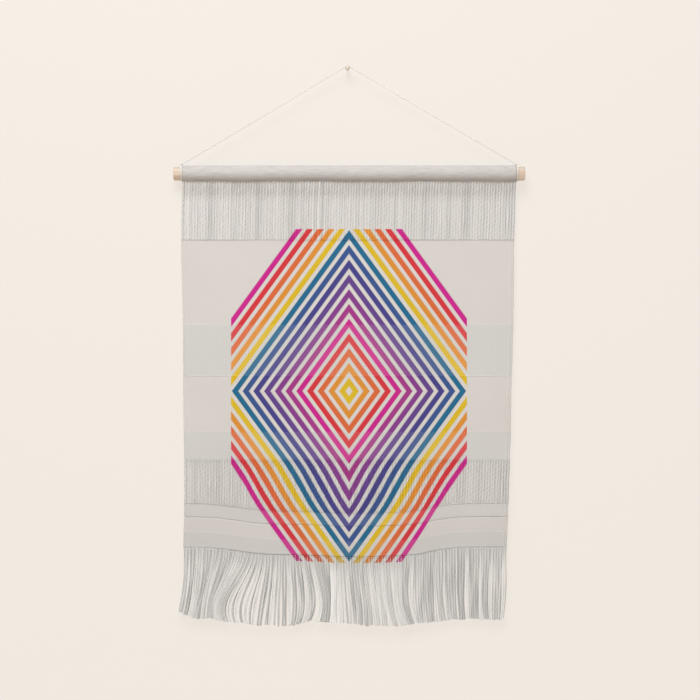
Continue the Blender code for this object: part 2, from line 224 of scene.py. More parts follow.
@dataclass(frozen=True)
class HangingForm:
    """The rule for the shape in which the cloth hangs, the same one as its solid follows."""

    rod_radius: float = 8.25 * MM
    rod_centre: Point = (2.0 * MM, -11.0 * MM, -123.4 * MM)
    gap: float = 0.3 * MM
    back_set: float = 2.5 * MM
    top: float = 134.6 * MM
    bottom: float = 558.6 * MM
    wave_depth: float = 1.6 * MM
    wave_lengths: tuple[float, float] = (188.0 * MM, 83.0 * MM)
    wave_phases: tuple[float, float] = (0.7, 2.1)
    wave_shares: tuple[float, float] = (0.6, 0.4)
    wave_full_at: float = 400.0 * MM
    bow_depth: float = 2.0 * MM
    sag_start: float = 458.0 * MM
    sag_full: float = 506.0 * MM
    crumple_depth: float = 0.28 * MM
    crumple_scale: tuple[float, float] = (16.0, 24.0)
    crumple_fade: float = 60.0 * MM
    sags: tuple[Sag, ...] = table(
        Sag, (-200, 0), (-165, 0.5), (-137, 3.1), (-113, 6.6), (-92, 8.3), (-50, 9.4), (0, 11), (50, 10.4),
        (83, 8), (99, 4.6), (115, 2.3), (132, 0.7), (160, 0), (200, 0),
    )
    edges: tuple[Edge, ...] = table(
        Edge, (134.6, -192.6, 195.9), (165, -194, 195.2), (200.7, -194.1, 194.2), (266, -192.6, 193.8),
        (299.8, -191.9, 193.2), (329, -191.8, 192.5), (391, -191.6, 190.8), (424.5, -190.9, 190.6),
        (457, -190.6, 189.4), (482, -190.6, 188.3), (506.2, -190.6, 187.6), (523.6, -190.6, 187.2),
        (541.1, -191.2, 186.4), (558.6, -191.8, 185.6),
    )

    def waves(self, across: float, lengths: Sequence[float], phases: Sequence[float]) -> float:
        """Adds a long and a short wave into a number between -1 and 1."""
        angles = [math.tau * across / length + phase for length, phase in zip(lengths, phases)]
        return sum(share * math.sin(angle) for share, angle in zip(self.wave_shares, angles))

    def sag(self, across: float, drop: float) -> float:
        """How far the cloth hangs lower than its drop says."""
        share = smooth((drop - self.sag_start) / (self.sag_full - self.sag_start))
        return share * read_table(self.sags, "drop", across) if share else 0.0

    def depth(self, across: float, drop: float) -> float:
        """Where the middle of the cloth's thickness lies.

        Args:
            across: the place across the cloth.
            drop: the place down the cloth.

        Returns:
            The Y of the cloth's middle plane.
        """
        growth = smooth((drop - self.top) / (self.wave_full_at - self.top))
        wave = self.wave_depth * growth * self.waves(across, self.wave_lengths, self.wave_phases)
        bow = self.bow_depth * self.sag(across, drop) / read_table(self.sags, "drop", 0.0)
        return self.rod_centre[1] + self.back_set - wave - bow

    def crumple(self, across: float, drop: float) -> float:
        """A faint crumple of the cloth along Y, which fades towards its top."""
        place = Vector((across * self.crumple_scale[0], 0.0, drop * self.crumple_scale[1]))
        return self.crumple_depth * noise.noise(place) * smooth((drop - self.top) / self.crumple_fade)

    def side(self, drop: float, share: float) -> float:
        """The place at a share of the way from the left edge to the right one."""
        drops, *edges = ([number * MM for number in column] for column in zip(*self.edges))
        return between(*(float(np.interp(drop, drops, edge)) for edge in edges), share)


FORM = HangingForm()


class Value:
    """A value that flows through a node tree, which sums can be made with."""

    def __init__(self, graph: "Graph", socket: bpy.types.NodeSocket) -> None:
        """Takes the graph, and the socket that gives the value."""
        self.graph, self.socket = graph, socket

    def reckon(self, operation: str, *others: "Value | float", clamp: bool = False) -> "Value":
        """Adds a Math node with this value as its first input."""
        inputs = dict(enumerate((self, *others)))
        return self.graph.get("ShaderNodeMath", inputs, operation=operation, use_clamp=clamp)

    __add__ = partialmethod(reckon, "ADD")
    __sub__ = partialmethod(reckon, "SUBTRACT")
    __mul__ = partialmethod(reckon, "MULTIPLY")
    __truediv__ = partialmethod(reckon, "DIVIDE")
    __abs__ = partialmethod(reckon, "ABSOLUTE")

    def __rsub__(self, other: float) -> "Value":
        """A number less this value."""
        return self * -1.0 + other

    def spread(self, low: float, high: float, to_low: float = 0.0, to_high: float = 1.0) -> "Value":
        """Maps the range from low to high onto another one, held at both ends."""
        inputs = {"Value": self, 1: low, 2: high, 3: to_low, 4: to_high}
        return self.graph.get("ShaderNodeMapRange", inputs, "Result", clamp=True)

    def noise(self, scale: float, detail: float = 2.0, roughness: float = 0.5) -> "Value":
        """Reads a noise texture, from 0 to 1, at this place."""
        inputs = {"Vector": self, "Scale": scale, "Detail": detail, "Roughness": roughness}
        return self.graph.get("ShaderNodeTexNoise", inputs)

    def scaled(self, scale: Point) -> "Value":
        """This vector, scaled along each axis."""
        return self.graph.get("ShaderNodeVectorMath", {0: self, 1: scale}, operation="MULTIPLY")

    def parts(self) -> list["Value"]:
        """The three numbers of this vector."""
        node = self.graph.add("ShaderNodeSeparateXYZ", {0: self})
        return [Value(self.graph, output) for output in node.outputs]


class Graph:
    """Adds nodes to a node tree and links them."""

    def __init__(self, tree: bpy.types.NodeTree) -> None:
        """Takes the tree that the nodes go into."""
        self.tree = tree

    def feed(self, socket: bpy.types.NodeSocket, value: Any) -> None:
        """Links a value to an input, or sets the input to a plain one.

        Args:
            socket: the input.
            value: a Value, or a plain number, vector or colour.
        """
        if isinstance(value, Value):
            self.tree.links.new(value.socket, socket)
        else:
            socket.default_value = value

    def add(self, kind: str, inputs: dict[int | str, Any] | None = None, **settings: Any) -> bpy.types.Node:
        """Adds a node.

        Args:
            kind: the node's type.
            inputs: what goes into each input, by name or index.
            **settings: the node's own properties.

        Returns:
            The node.
        """
        node = self.tree.nodes.new(kind)
        for name, value in settings.items():
            setattr(node, name, value)
        for key, value in (inputs or {}).items():
            self.feed(node.inputs[key], value)
        return node

    def get(
        self, kind: str, inputs: dict[int | str, Any] | None = None, output: int | str = 0, **settings: Any
    ) -> Value:
        """Adds a node and takes one of its outputs."""
        return Value(self, self.add(kind, inputs, **settings).outputs[output])

    def mix(self, share: float | Value, first: Any, second: Any, blend: str = "MIX") -> Value:
        """Mixes two colours by the share of the second one.

        Args:
            share: how much of the second one there is, from 0 to 1.
            first: the first colour.
            second: the second colour.
            blend: how the second one is laid over the first.

        Returns:
            The mixed colour.
        """
        first, second = (item if isinstance(item, Value) else (*item, 1.0) for item in (first, second))
        inputs = {0: share, 6: first, 7: second}
        return self.get("ShaderNodeMix", inputs, 2, data_type="RGBA", blend_type=blend)

    def choose(self, share: Value, first: Value, second: Value) -> Value:
        """Mixes two numbers by the share of the second one."""
        return self.get("ShaderNodeMix", {0: share, 2: first, 3: second}, data_type="FLOAT")

    def shaded(self, colour: Any, tone: Value) -> Value:
        """A colour, lightened or darkened by a tone."""
        grey = self.get("ShaderNodeCombineColor", {0: tone, 1: tone, 2: tone})
        return self.mix(1.0, colour, grey, "MULTIPLY")

    def attribute(self, name: str, output: str = "Fac") -> Value:
        """Reads a number, or else a "Vector", that the mesh keeps."""
        return self.get("ShaderNodeAttribute", output=output, attribute_name=name)

    def ramp(self, place: Value, stops: Sequence[tuple[float, Colour]], kind: str = "LINEAR") -> Value:
        """Reads a row of colours.

        Args:
            place: where it is read, from 0 to 1.
            stops: the place of each colour and the colour.
            kind: how one colour goes over into the next.

        Returns:
            The colour there.
        """
        node = self.add("ShaderNodeValToRGB", {0: place})
        node.color_ramp.interpolation = kind
        elements = node.color_ramp.elements
        while len(elements) < len(stops):
            elements.new(1.0)
        for element, (position, colour) in zip(elements, stops):
            element.position = position
            element.color = (*colour, 1.0)
        return Value(self, node.outputs[0])


@dataclass(frozen=True)
class NestedLozenges:
    """The printed design: stripes in nested lozenges, with striped corners outside the largest one."""

    centre: tuple[float, float] = (1.75 * MM, 377.0 * MM)
    half_size: tuple[float, float] = (137.6 * MM, 189.0 * MM)
    stripe_share: float = 0.61
    corner_stripes: float = 5.0
    softness: float = 0.06
    colours: tuple[Colour, ...] = (
        linear(38, 110, 148),
        linear(62, 90, 148),
        linear(75, 70, 142),
        linear(105, 72, 145),
        linear(140, 65, 145),
        linear(170, 60, 140),
        linear(208, 40, 145),
        linear(218, 58, 66),
        linear(224, 110, 62),
        linear(228, 150, 58),
        linear(226, 190, 45),
    )

    def stripes(self, place: Value, colours: Sequence[Colour]) -> Value:
        """Reads the colour of a stripe by its number."""
        stops = [(index / len(colours), colour) for index, colour in enumerate(colours)]
        return place.graph.ramp(place / float(len(colours)), stops, "CONSTANT")

    def ink(self, place: Value) -> Value:
        """How much ink there is at a place in stripes.

        Args:
            place: the place, counted in stripes.

        Returns:
            1 on a stripe, 0 in the gap after it.
        """
        half = 0.5 * self.stripe_share
        off_middle = abs(place.reckon("FRACT") - half)
        return off_middle.spread(half - self.softness, half + self.softness, 1.0, 0.0)

    def draw(self, across: Value, drop: Value) -> tuple[Value, Value]:
        """Draws the design in a material.

        Args:
            across: the place across the cloth.
            drop: the place down the cloth.

        Returns:
            How much ink there is, from 0 to 1, and the ink's colour.
        """
        graph, count = across.graph, float(len(self.colours))
        aside, away = (abs(place - middle) for place, middle in zip((across, drop), self.centre))
        reach = aside / self.half_size[0] + away / self.half_size[1]
        inward, outward = (1.0 - reach) * count, (reach - 1.0) * count
        outside = outward.reckon("GREATER_THAN", 0.0)
        corner_ink = self.ink(outward + (self.stripe_share + self.softness))
        ink = graph.choose(outside, self.ink(inward - self.softness), corner_ink)
        limits = (*self.half_size, self.corner_stripes)
        for place, limit in zip((aside, away, outward), limits):
            ink = ink * place.reckon("LESS_THAN", limit)
        colours = self.stripes(inward, self.colours), self.stripes(outward, self.colours[::-1])
        return ink, graph.mix(outside, *colours)


DESIGN = NestedLozenges()


def new_material(name: str) -> tuple[Material, Graph, bpy.types.Node]:
    """Makes a material, the graph of its nodes and its Principled shader.

    Args:
        name: the material's name.

    Returns:
        All three.
    """
    material = bpy.data.materials.new(name)
    material.use_nodes = True
    return material, Graph(material.node_tree), material.node_tree.nodes["Principled BSDF"]


@dataclass(frozen=True)
class Finish:
    """What every finish of the wall hanging has."""

    name: str = ""
    bump_depth: float = 0.1 * MM
    roughness: float = 0.9
    sheen: float = 0.0
    gloss: float = 0.15

    def look(self, graph: Graph) -> tuple[Value, Value]:
        """The base colour and the height of the bump, from 0 to 1."""
        raise NotImplementedError

    def make(self) -> Material:
        """Makes the material.

        Returns:
            The material.
        """
        material, graph, shader = new_material(self.name)
        colour, height = self.look(graph)
        bump = {"Strength": 1.0, "Distance": self.bump_depth, "Height": height}
        inputs = {
            "Base Color": colour,
            "Normal": graph.get("ShaderNodeBump", bump),
            "Roughness": self.roughness,
            "Sheen Weight": self.sheen,
            "Specular IOR Level": self.gloss,
        }
        for name, value in inputs.items():
            graph.feed(shader.inputs[name], value)
        return material


@dataclass(frozen=True)
class WeaveFinish(Finish):
    """The finish of the woven bands and of the pocket."""

    name: str = "woven_cloth"
    bump_depth: float = 0.16 * MM
    roughness: float = 0.92
    sheen: float = 0.12
    fine_colour: Colour = linear(224, 219, 214)
    coarse_colour: Colour = linear(213, 211, 207)
    fine_pitch: float = 0.8 * MM
    coarse_pitch: float = 1.7 * MM
    groove_painted_shade: float = 0.80
    cloud_scale: float = 9.0
    cloud_tones: tuple[float, float] = (0.92, 0.955)
    # Painted shade that darkens the cloth towards its lower edge, between these drops.
    low_painted_shade: float = 0.955
    low_shade_drops: tuple[float, float] = (510.0 * MM, 550.0 * MM)
    bare_dots: float = 0.12
    ridge_painted_light: float = 0.06
    fine_ridge_share: float = 0.2
    ridge_at: float = 4.3 * MM
    ridge_groove_at: float = 2.7 * MM
    ridge_width: float = 0.9 * MM
    grain_scale: Point = (62.0, 1000.0, 1.0)
    grain_range: tuple[float, float] = (0.35, 0.62)
    grain_tones: tuple[float, float] = (0.79, 0.94)
    # Painted shade round the pocket, by drop: darkest on its underside, lightest on its front, darker again
    # over its top.
    pocket_painted_shade: tuple[tuple[float, float], ...] = (
        (84.0, 0.74), (86.0, 0.78), (88.5, 0.92), (92.0, 0.96), (95.5, 0.99), (98.0, 0.95), (103.5, 0.88),
    )
    pocket_edge: float = 134.0 * MM
    warp_pitch: float = 3.24 * MM
    ruled_rows: tuple[float, ...] = (202.5 * MM, 301.5 * MM, 426.0 * MM)
    ruled_height: float = 4.0 * MM
    ruled_shade: float = 0.03

    def weave(self, across: Value, drop: Value, pitch: float) -> tuple[Value, Value]:
        """A plain weave, with each thread over one and under one.

        Args:
            across: the place across the cloth.
            drop: the place down the cloth.
            pitch: the distance from one thread to the next.

        Returns:
            The height of the weave, and where the weft lies on top.
        """
        warp, weft = ((place * (math.pi / pitch)).reckon("SINE") for place in (across, drop))
        on_top = (warp * weft).reckon("MULTIPLY_ADD", 2.0, 0.5, clamp=True)
        return across.graph.choose(on_top, abs(weft), abs(warp)), on_top

    def line(self, place: Value, centre: float, width: float) -> Value:
        """A soft line, 1 at its middle and 0 half its width away."""
        return abs(place - centre).spread(0.0, 0.5 * width, 1.0, 0.0)

    def pocket_grain_and_painted_shade(self, spot: Value, drop: Value) -> Value:
        """Painted shade down the pocket, darkest on its underside and darker again over its top, and the grain
        across it, as short light and dark dashes.

        Args:
            spot: the print place.
            drop: the place down the cloth.

        Returns:
            A factor for the cloth's tone.
        """
        dashes = spot.scaled(self.grain_scale).noise(1.0, 2.0, 0.6)
        low, high = self.pocket_painted_shade[0][0] * MM, self.pocket_painted_shade[-1][0] * MM
        stops = [((place * MM - low) / (high - low), (tone,) * 3) for place, tone in self.pocket_painted_shade]
        # The painted shade down the pocket.
        down = spot.graph.ramp(drop.spread(low, high), stops)
        shade = dashes.spread(*self.grain_range, *self.grain_tones) * down
        return (shade - 1.0).reckon("MULTIPLY_ADD", drop.reckon("LESS_THAN", self.pocket_edge), 1.0)

    def selvedge(self, coarse: Value) -> Value:
        """A painted highlight on the selvedge's ridge and painted shade in its groove, strongest in coarse
        bands.

        Args:
            coarse: how coarse the weave is.

        Returns:
            What they add to the cloth's tone.
        """
        offset = coarse.graph.attribute("edge_offset")
        ridge = self.line(offset, self.ridge_at, 2.0 * self.ridge_width)
        groove = self.line(offset, self.ridge_groove_at, 1.6 * self.ridge_width)
        low = self.fine_ridge_share * self.ridge_painted_light
        return (ridge - groove) * coarse.spread(0.0, 1.0, low, self.ridge_painted_light)

    def ruling(self, across: Value, drop: Value) -> Value:
        """The warp yarns that show faintly where a band begins.

        Args:
            across: the place across the cloth.
            drop: the place down the cloth.

        Returns:
            What they add to the cloth's tone.
        """
        first, *others = (self.line(drop, row, 2.0 * self.ruled_height) for row in self.ruled_rows)
        for row in others:
            first = first + row
        return first * (across * (math.tau / self.warp_pitch)).reckon("SINE") * self.ruled_shade

    def look(self, graph: Graph) -> tuple[Value, Value]:
        """The weave, the print, the pocket's grain, and painted shade in the weave's grooves, round the pocket
        and towards the lower edge, with a painted highlight and shade on the selvedge.

        Args:
            graph: the material's graph.

        Returns:
            The colour and the height.
        """
        spot = graph.attribute("print_at", "Vector")
        across, drop, _ = spot.parts()
        coarse = graph.attribute("coarse")
        fine_height, _ = self.weave(across, drop, self.fine_pitch)
        coarse_height, dots = self.weave(across, drop, self.coarse_pitch)
        height = graph.choose(coarse, fine_height, coarse_height)
        ink, colour = DESIGN.draw(across, drop)
        ink = ink * (1.0 - coarse * dots * self.bare_dots)
        base = graph.mix(coarse, self.fine_colour, self.coarse_colour)
        base = graph.mix(ink * graph.attribute("front"), base, colour)
        tone = spot.noise(self.cloud_scale).spread(*NOISE_RANGE, *self.cloud_tones)
        # Painted shade in the weave's grooves.
        tone = tone * height.spread(0.0, 0.8, self.groove_painted_shade, 1.0)
        # Painted shade towards the lower edge.
        tone = tone * drop.spread(*self.low_shade_drops, 1.0, self.low_painted_shade)
        # Pocket grain with painted shade, the selvedge's painted highlight and shade, and the ruled warp lines.
        tone = tone * self.pocket_grain_and_painted_shade(spot, drop) + self.selvedge(coarse) + self.ruling(across, drop)
        return graph.shaded(base, tone), height


@dataclass(frozen=True)
class YarnFinish(Finish):
    """The finish of twisted yarn or cord, with the print where the yarn crosses it."""

    roughness: float = 0.95
    sheen: float = 0.15
    colour: Colour = linear(229, 226, 221)
    printed: bool = False
    ink_gain: float = 1.13
    groove_painted_shade: float = 0.62
    fibre_scale: Point = (7.0, 7.0, 260.0)
    fibre_shade: float = 0.84
    yarn_offset: float = 50.0

    def look(self, graph: Graph) -> tuple[Value, Value]:
        """The fibres, painted shade in the grooves between the plies, the print, and the yarn's tone, which
        carries painted light and shade as well as its own tone.

        Args:
            graph: the material's graph.

        Returns:
            The colour and the height.
        """
        shade = graph.attribute("shade")
        side, up, _ = graph.attribute("around", "Vector").parts()
        along = shade.reckon("MULTIPLY_ADD", self.yarn_offset, graph.attribute("along"))
        lay = graph.get("ShaderNodeCombineXYZ", {0: side, 1: up, 2: along})
        fibre = lay.scaled(self.fibre_scale).noise(1.0, 3.0, 0.6)
        base = self.colour
        if self.printed:
            across, drop, _ = graph.attribute("print_at", "Vector").parts()
            ink, colour = DESIGN.draw(across, drop)
            strong = graph.mix(1.0, colour, (self.ink_gain,) * 3, "MULTIPLY")
            base = graph.mix(ink * graph.attribute("front"), base, strong)
        # Painted shade in the grooves between the plies.
        ply_painted_shade = graph.attribute("groove").spread(0.3, 1.0, 1.0, self.groove_painted_shade)
        fuzz = fibre.spread(*NOISE_RANGE, self.fibre_shade, 1.0)
        return graph.shaded(base, ply_painted_shade * fuzz * shade), fibre


@dataclass(frozen=True)
class WoodFinish(Finish):
    """Bare, finely sanded light wood, its grain along X."""

    name: str = "bare_wood"
    bump_depth: float = 0.05 * MM
    roughness: float = 0.8
    gloss: float = 0.1
    light: Colour = linear(220, 205, 189)
    dark: Colour = linear(198, 172, 148)
    painted_top_light: Colour = (0.82, 0.915, 1.0)
    grain_scale: Point = (14.0, 260.0, 260.0)
    pore_scale: Point = (60.0, 2400.0, 2400.0)
    pore_shade: float = 0.35

    def look(self, graph: Graph) -> tuple[Value, Value]:
        """The grain and the pores, and painted cool light on the upper side.

        Args:
            graph: the material's graph.

        Returns:
            The colour and the height.
        """
        place = graph.get("ShaderNodeTexCoord", output="Object")
        grain = place.scaled(self.grain_scale).noise(1.0, 4.0, 0.55)
        pores = place.scaled(self.pore_scale).noise(1.0, 2.0, 0.6)
        colour = graph.mix(grain.spread(0.35, 0.65), self.light, self.dark)
        colour = graph.mix(pores.spread(0.25, 0.42, self.pore_shade, 0.0), colour, self.dark, "MULTIPLY")
        # Painted cool light from above: the upper side turns greyer.
        above = graph.get("ShaderNodeNewGeometry", output="Normal").parts()[2].spread(0.2, 0.8)
        colour = graph.mix(above, colour, graph.mix(1.0, colour, self.painted_top_light, "MULTIPLY"))
        return colour, grain * 0.5 + pores * 0.5


@dataclass(frozen=True)
class PaintFinish(Finish):
    """Satin ivory paint on the nail."""

    name: str = "ivory_paint"
    bump_depth: float = 0.02 * MM
    roughness: float = 0.55
    gloss: float = 0.5
    colour: Colour = linear(214, 203, 190)
    worn: Colour = linear(198, 186, 171)
    cloud_scale: float = 700.0
    rim_painted_shade: float = 0.80

    def look(self, graph: Graph) -> tuple[Value, Value]:
        """The paint, worn in clouds, with painted shade round the head's rim.

        Args:
            graph: the material's graph.

        Returns:
            The colour and the height.
        """
        cloud = graph.get("ShaderNodeTexCoord", output="Object").noise(self.cloud_scale, 3.0, 0.55)
        colour = graph.mix(cloud.spread(0.45, 0.75), self.colour, self.worn)
        # Painted shade where the head turns away from the front.
        outward = graph.get("ShaderNodeNewGeometry", output="Normal").parts()[1]
        return graph.shaded(colour, outward.spread(-0.95, -0.4, 1.0, self.rim_painted_shade)), cloud


@dataclass(frozen=True)
class YarnTree:
    """Geometry nodes that lay a twisted yarn along each line of a guide."""

    sharp_from: float = math.radians(85.0)
    inputs: tuple[tuple[str, str, Any], ...] = (
        ("Geometry", "Geometry", None),
        ("Radius", "Float", 1.0 * MM),
        ("Groove", "Float", 0.3),
        ("Plies", "Int", 2),
        ("Turn Length", "Float", 9.0 * MM),
        ("Step Length", "Float", 1.0 * MM),
        ("Sides", "Int", 8),
        ("Unevenness", "Float", 0.1),
        ("Lump Length", "Float", 8.0 * MM),
        ("Facing", "Vector", (0.0, -1.0, 0.0)),
        ("Seed", "Int", SEED),
        ("Material", "Material", None),
    )

    def make(self) -> None:
        """Builds the tree, with named inputs."""
        tree = bpy.data.node_groups.new(YARN_TREE, "GeometryNodeTree")
        for name, kind, value in self.inputs:
            socket = tree.interface.new_socket(name, in_out="INPUT", socket_type=f"NodeSocket{kind}")
            if value is not None:
                socket.default_value = value
        tree.interface.new_socket("Geometry", in_out="OUTPUT", socket_type="NodeSocketGeometry")
        graph = Graph(tree)
        given = {socket.name: Value(graph, socket) for socket in graph.add("NodeGroupInput").outputs}

        def step(kind: str, **inputs: Any) -> Value:
            """Adds a geometry node, its inputs named with underscores."""
            return graph.get(f"GeometryNode{kind}", {name.replace("_", " "): inputs[name] for name in inputs})

        line = step("MeshToCurve", Mesh=given["Geometry"])
        spacing = {"Curve": line, "Length": given["Step Length"]}
        line = graph.get("GeometryNodeResampleCurve", spacing, mode="LENGTH")
        length = graph.get("GeometryNodeSplineParameter", output="Length")
        line = self.store(line, "along", length)
        facing = {"Curve": line, "Normal": given["Facing"]}
        line = graph.get("GeometryNodeSetCurveNormal", facing, mode="FREE")
        tilt = (length / given["Turn Length"] + self.read(graph, "turn")) * math.tau
        line = step("SetCurveTilt", Curve=line, Tilt=tilt)
        lumps = {
            "Vector": step("InputPosition"),
            "W": given["Seed"],
            "Scale": given["Lump Length"].reckon("POWER", -1.0),
            "Detail": 1.0,
        }
        swell = graph.get("ShaderNodeTexNoise", lumps, noise_dimensions="4D") - 0.5
        swell = (swell * given["Unevenness"]).reckon("MULTIPLY_ADD", 2.0, 1.0)
        line = step("SetCurveRadius", Curve=line, Radius=swell * self.read(graph, "girth"))
        mesh = step("CurveToMesh", Curve=line, Profile_Curve=self.profile(graph, given), Fill_Caps=True)
        mesh = step("SetShadeSmooth", Geometry=mesh)
        angle = graph.get("GeometryNodeInputMeshEdgeAngle", output="Unsigned Angle")
        is_sharp = angle.reckon("GREATER_THAN", self.sharp_from)
        cut = {"Geometry": mesh, "Selection": is_sharp, "Shade Smooth": False}
        mesh = self.store_print(graph.get("GeometryNodeSetShadeSmooth", cut, domain="EDGE"))
        mesh = step("RealizeInstances", Geometry=mesh)
        mesh = step("SetMaterial", Geometry=mesh, Material=given["Material"])
        graph.add("NodeGroupOutput", {"Geometry": mesh})

    def read(self, graph: Graph, name: str, kind: str = "FLOAT") -> Value:
        """Reads what the guide's points hold."""
        return graph.get("GeometryNodeInputNamedAttribute", {"Name": name}, data_type=kind)

    def store(self, geometry: Value, name: str, value: Value, kind: str = "FLOAT") -> Value:
        """Keeps a number or a vector on the points of a curve or mesh."""
        inputs = {"Geometry": geometry, "Name": name, "Value": value}
        return geometry.graph.get("GeometryNodeStoreNamedAttribute", inputs, data_type=kind)

    def store_print(self, mesh: Value) -> Value:
        """Keeps on each point of the yarns where the print is read, and how much it faces the front.

        Args:
            mesh: the yarns.

        Returns:
            The yarns with the two attributes.
        """
        graph = mesh.graph
        across, _, height = graph.get("GeometryNodeInputPosition").parts()
        flat = graph.get("ShaderNodeCombineXYZ", {0: across, 1: height * -1.0})
        shift = self.read(graph, "print_shift", "FLOAT_VECTOR")
        spot = graph.get("ShaderNodeVectorMath", {0: flat, 1: shift}, operation="ADD")
        mesh = self.store(mesh, "print_at", spot, "FLOAT_VECTOR")
        facing = graph.get("GeometryNodeInputNormal").parts()[1]
        return self.store(mesh, "front", facing.spread(0.0, 0.5, 1.0, 0.0))

    def profile(self, graph: Graph, given: dict[str, Value]) -> Value:
        """Makes the yarn's section: round, with a groove between each two plies.

        Args:
            graph: the tree's graph.
            given: the tree's inputs.

        Returns:
            The profile curve.
        """
        ring = {"Resolution": given["Sides"], "Radius": given["Radius"]}
        circle = graph.get("GeometryNodeCurvePrimitiveCircle", ring, mode="RADIUS")
        place = graph.get("GeometryNodeInputPosition")
        side, up, _ = place.parts()
        lobes = (up.reckon("ARCTAN2", side) * given["Plies"]).reckon("COSINE")
        groove = lobes.reckon("MULTIPLY_ADD", -0.5, 0.5)
        inward = {0: place, 3: 1.0 - groove * given["Groove"]}
        shaped = graph.get("ShaderNodeVectorMath", inward, operation="SCALE")
        outward = graph.get("ShaderNodeVectorMath", {0: place}, operation="NORMALIZE")
        circle = self.store(self.store(circle, "groove", groove), "around", outward, "FLOAT_VECTOR")
        return graph.get("GeometryNodeSetPosition", {"Geometry": circle, "Position": shaped})


def guide_mesh(name: str, lines: Iterable[Sequence[GuidePoint]]) -> bpy.types.Mesh:
    """Makes a mesh of bare edges, one line for each yarn, with what its points hold.

    Args:
        name: the mesh's name.
        lines: the points of each line.

    Returns:
        The mesh.
    """
    points: list[GuidePoint] = []
    edges = []
    for line in lines:
        start = len(points)
        points.extend(line)
        edges.extend((index, index + 1) for index in range(start, len(points) - 1))
    mesh = bpy.data.meshes.new(name)
    mesh.from_pydata([point.place for point in points], edges, [])
    for column in ("girth", "shade", "turn"):
        values = mesh.attributes.new(column, "FLOAT", "POINT")
        values.data.foreach_set("value", [getattr(point, column) for point in points])
    shift = mesh.attributes.new("print_shift", "FLOAT_VECTOR", "POINT")
    shift.data.foreach_set("vector", [number for point in points for number in (*point.print_shift, 0.0)])
    return mesh


def place_mesh(name: str, mesh: bpy.types.Mesh) -> Piece:
    """Puts a mesh into the scene as an object at the origin.

    Args:
        name: the object's name.
        mesh: its mesh.

    Returns:
        The object.
    """
    item = bpy.data.objects.new(name, mesh)
    bpy.context.scene.collection.objects.link(item)
    return item


def hand_over(piece: Piece, node: str) -> Piece:
    """Hides the solid that a piece replaces and puts the piece on the body it rides on.

    Args:
        piece: the piece.
        node: the solid's node.

    Returns:
        The piece.
    """
    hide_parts(node)
    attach(piece, BODY)
    return piece


def lay_yarns(name: str, lines: Iterable[Sequence[GuidePoint]], material: Material, **sizes: Any) -> Piece:
    """Lays a twisted yarn along each line and keeps the result as a plain mesh.

    Args:
        name: the piece's name.
        lines: the middle lines of the yarns.
        material: the yarn's material.
        **sizes: a value for each input of the yarn tree, named in lower case with underscores.

    Returns:
        The piece.
    """
    tree = bpy.data.node_groups[YARN_TREE]
    item = place_mesh(name, guide_mesh(name, lines))
    modifier = item.modifiers.new("yarns", "NODES")
    modifier.node_group = tree
    wanted = {key.replace("_", " ").title(): value for key, value in sizes.items()} | {"Material": material}
    for socket in tree.interface.items_tree:
        if socket.in_out == "INPUT" and socket.name in wanted:
            modifier[socket.identifier] = wanted[socket.name]
    bpy.context.view_layer.update()
    graph = bpy.context.evaluated_depsgraph_get()
    finished = item.evaluated_get(graph)
    mesh = bpy.data.meshes.new_from_object(finished, preserve_all_data_layers=True, depsgraph=graph)
    item.modifiers.remove(modifier)
    item.data = mesh
    mesh.name = name
    return item


def cross_line(
    start: float, end: float, drop: float, tone: float, set_back: Callable[[float], float]
) -> list[GuidePoint]:
    """The middle line of a yarn that runs across the cloth.

    Args:
        start: where it starts.
        end: where it ends.
        drop: the place down the cloth.
        tone: the yarn's tone.
        set_back: how far it lies behind the cloth's middle plane, by the place across.

    Returns:
        The line's points, from the left.
    """
    points = []
    for across in spaced(start, end, 120):
        sag = FORM.sag(across, drop)
        place = (across, FORM.depth(across, drop) + set_back(across), -(drop + sag))
        points.append(GuidePoint(place, (0.0, -sag), 1.0, tone, 0.0))
    return points


def grid_faces(number: np.ndarray, turned: bool) -> list[tuple[int, ...]]:
    """The faces of a grid of points.

    Args:
        number: the points' numbers, as rows of columns.
        turned: whether the faces look the other way.

    Returns:
        The faces, which look towards -Y where rows run down and columns to the right.
    """
    corners = (number[:-1, :-1], number[1:, :-1], number[1:, 1:], number[:-1, 1:])
    faces = np.stack([block.ravel() for block in corners], axis=1)
    return [tuple(face) for face in faces[:, :: -1 if turned else 1].tolist()]


def closed_sheet(name: str, parts: Iterable[tuple[np.ndarray, ...]], material: Material) -> Piece:
    """Makes thin closed sheets, each from a grid for its front and one for its back.

    Args:
        name: the piece's name.
        parts: for each sheet its front points and its back points, as rows of columns, and what those
            places hold: the print place across and down, how coarse the weave is, and the edge's distance.
        material: the material.

    Returns:
        The piece.
    """
    points, faces, held, fronts = [], [], [], []
    for front, back, kept in parts:
        count = front.shape[0] * front.shape[1]
        number = np.arange(count).reshape(front.shape[:2]) + sum(len(block) for block in points)
        points += [front.reshape(-1, 3), back.reshape(-1, 3)]
        held += [kept.reshape(-1, 4)] * 2
        fronts += [np.ones(count), np.zeros(count)]
        faces += grid_faces(number, False) + grid_faces(number + count, True)
        rim = np.concatenate([number[0, :], number[1:, -1], number[-1, -2::-1], number[-2:0:-1, 0]]).tolist()
        for here, there in zip(rim, rim[1:] + rim[:1]):
            faces.append((here, there, there + count, here + count))
    mesh = bpy.data.meshes.new(name)
    mesh.from_pydata(np.concatenate(points).tolist(), [], faces)
    across, drop, coarse, offset = np.concatenate(held).T.tolist()
    spot = mesh.attributes.new("print_at", "FLOAT_VECTOR", "POINT")
    spot.data.foreach_set("vector", [number for pair in zip(across, drop) for number in (*pair, 0.0)])
    front_share = np.concatenate(fronts).tolist()
    for column, values in (("coarse", coarse), ("edge_offset", offset), ("front", front_share)):
        mesh.attributes.new(column, "FLOAT", "POINT").data.foreach_set("value", values)
    mesh.shade_smooth()
    mesh.materials.append(material)
    return place_mesh(name, mesh)


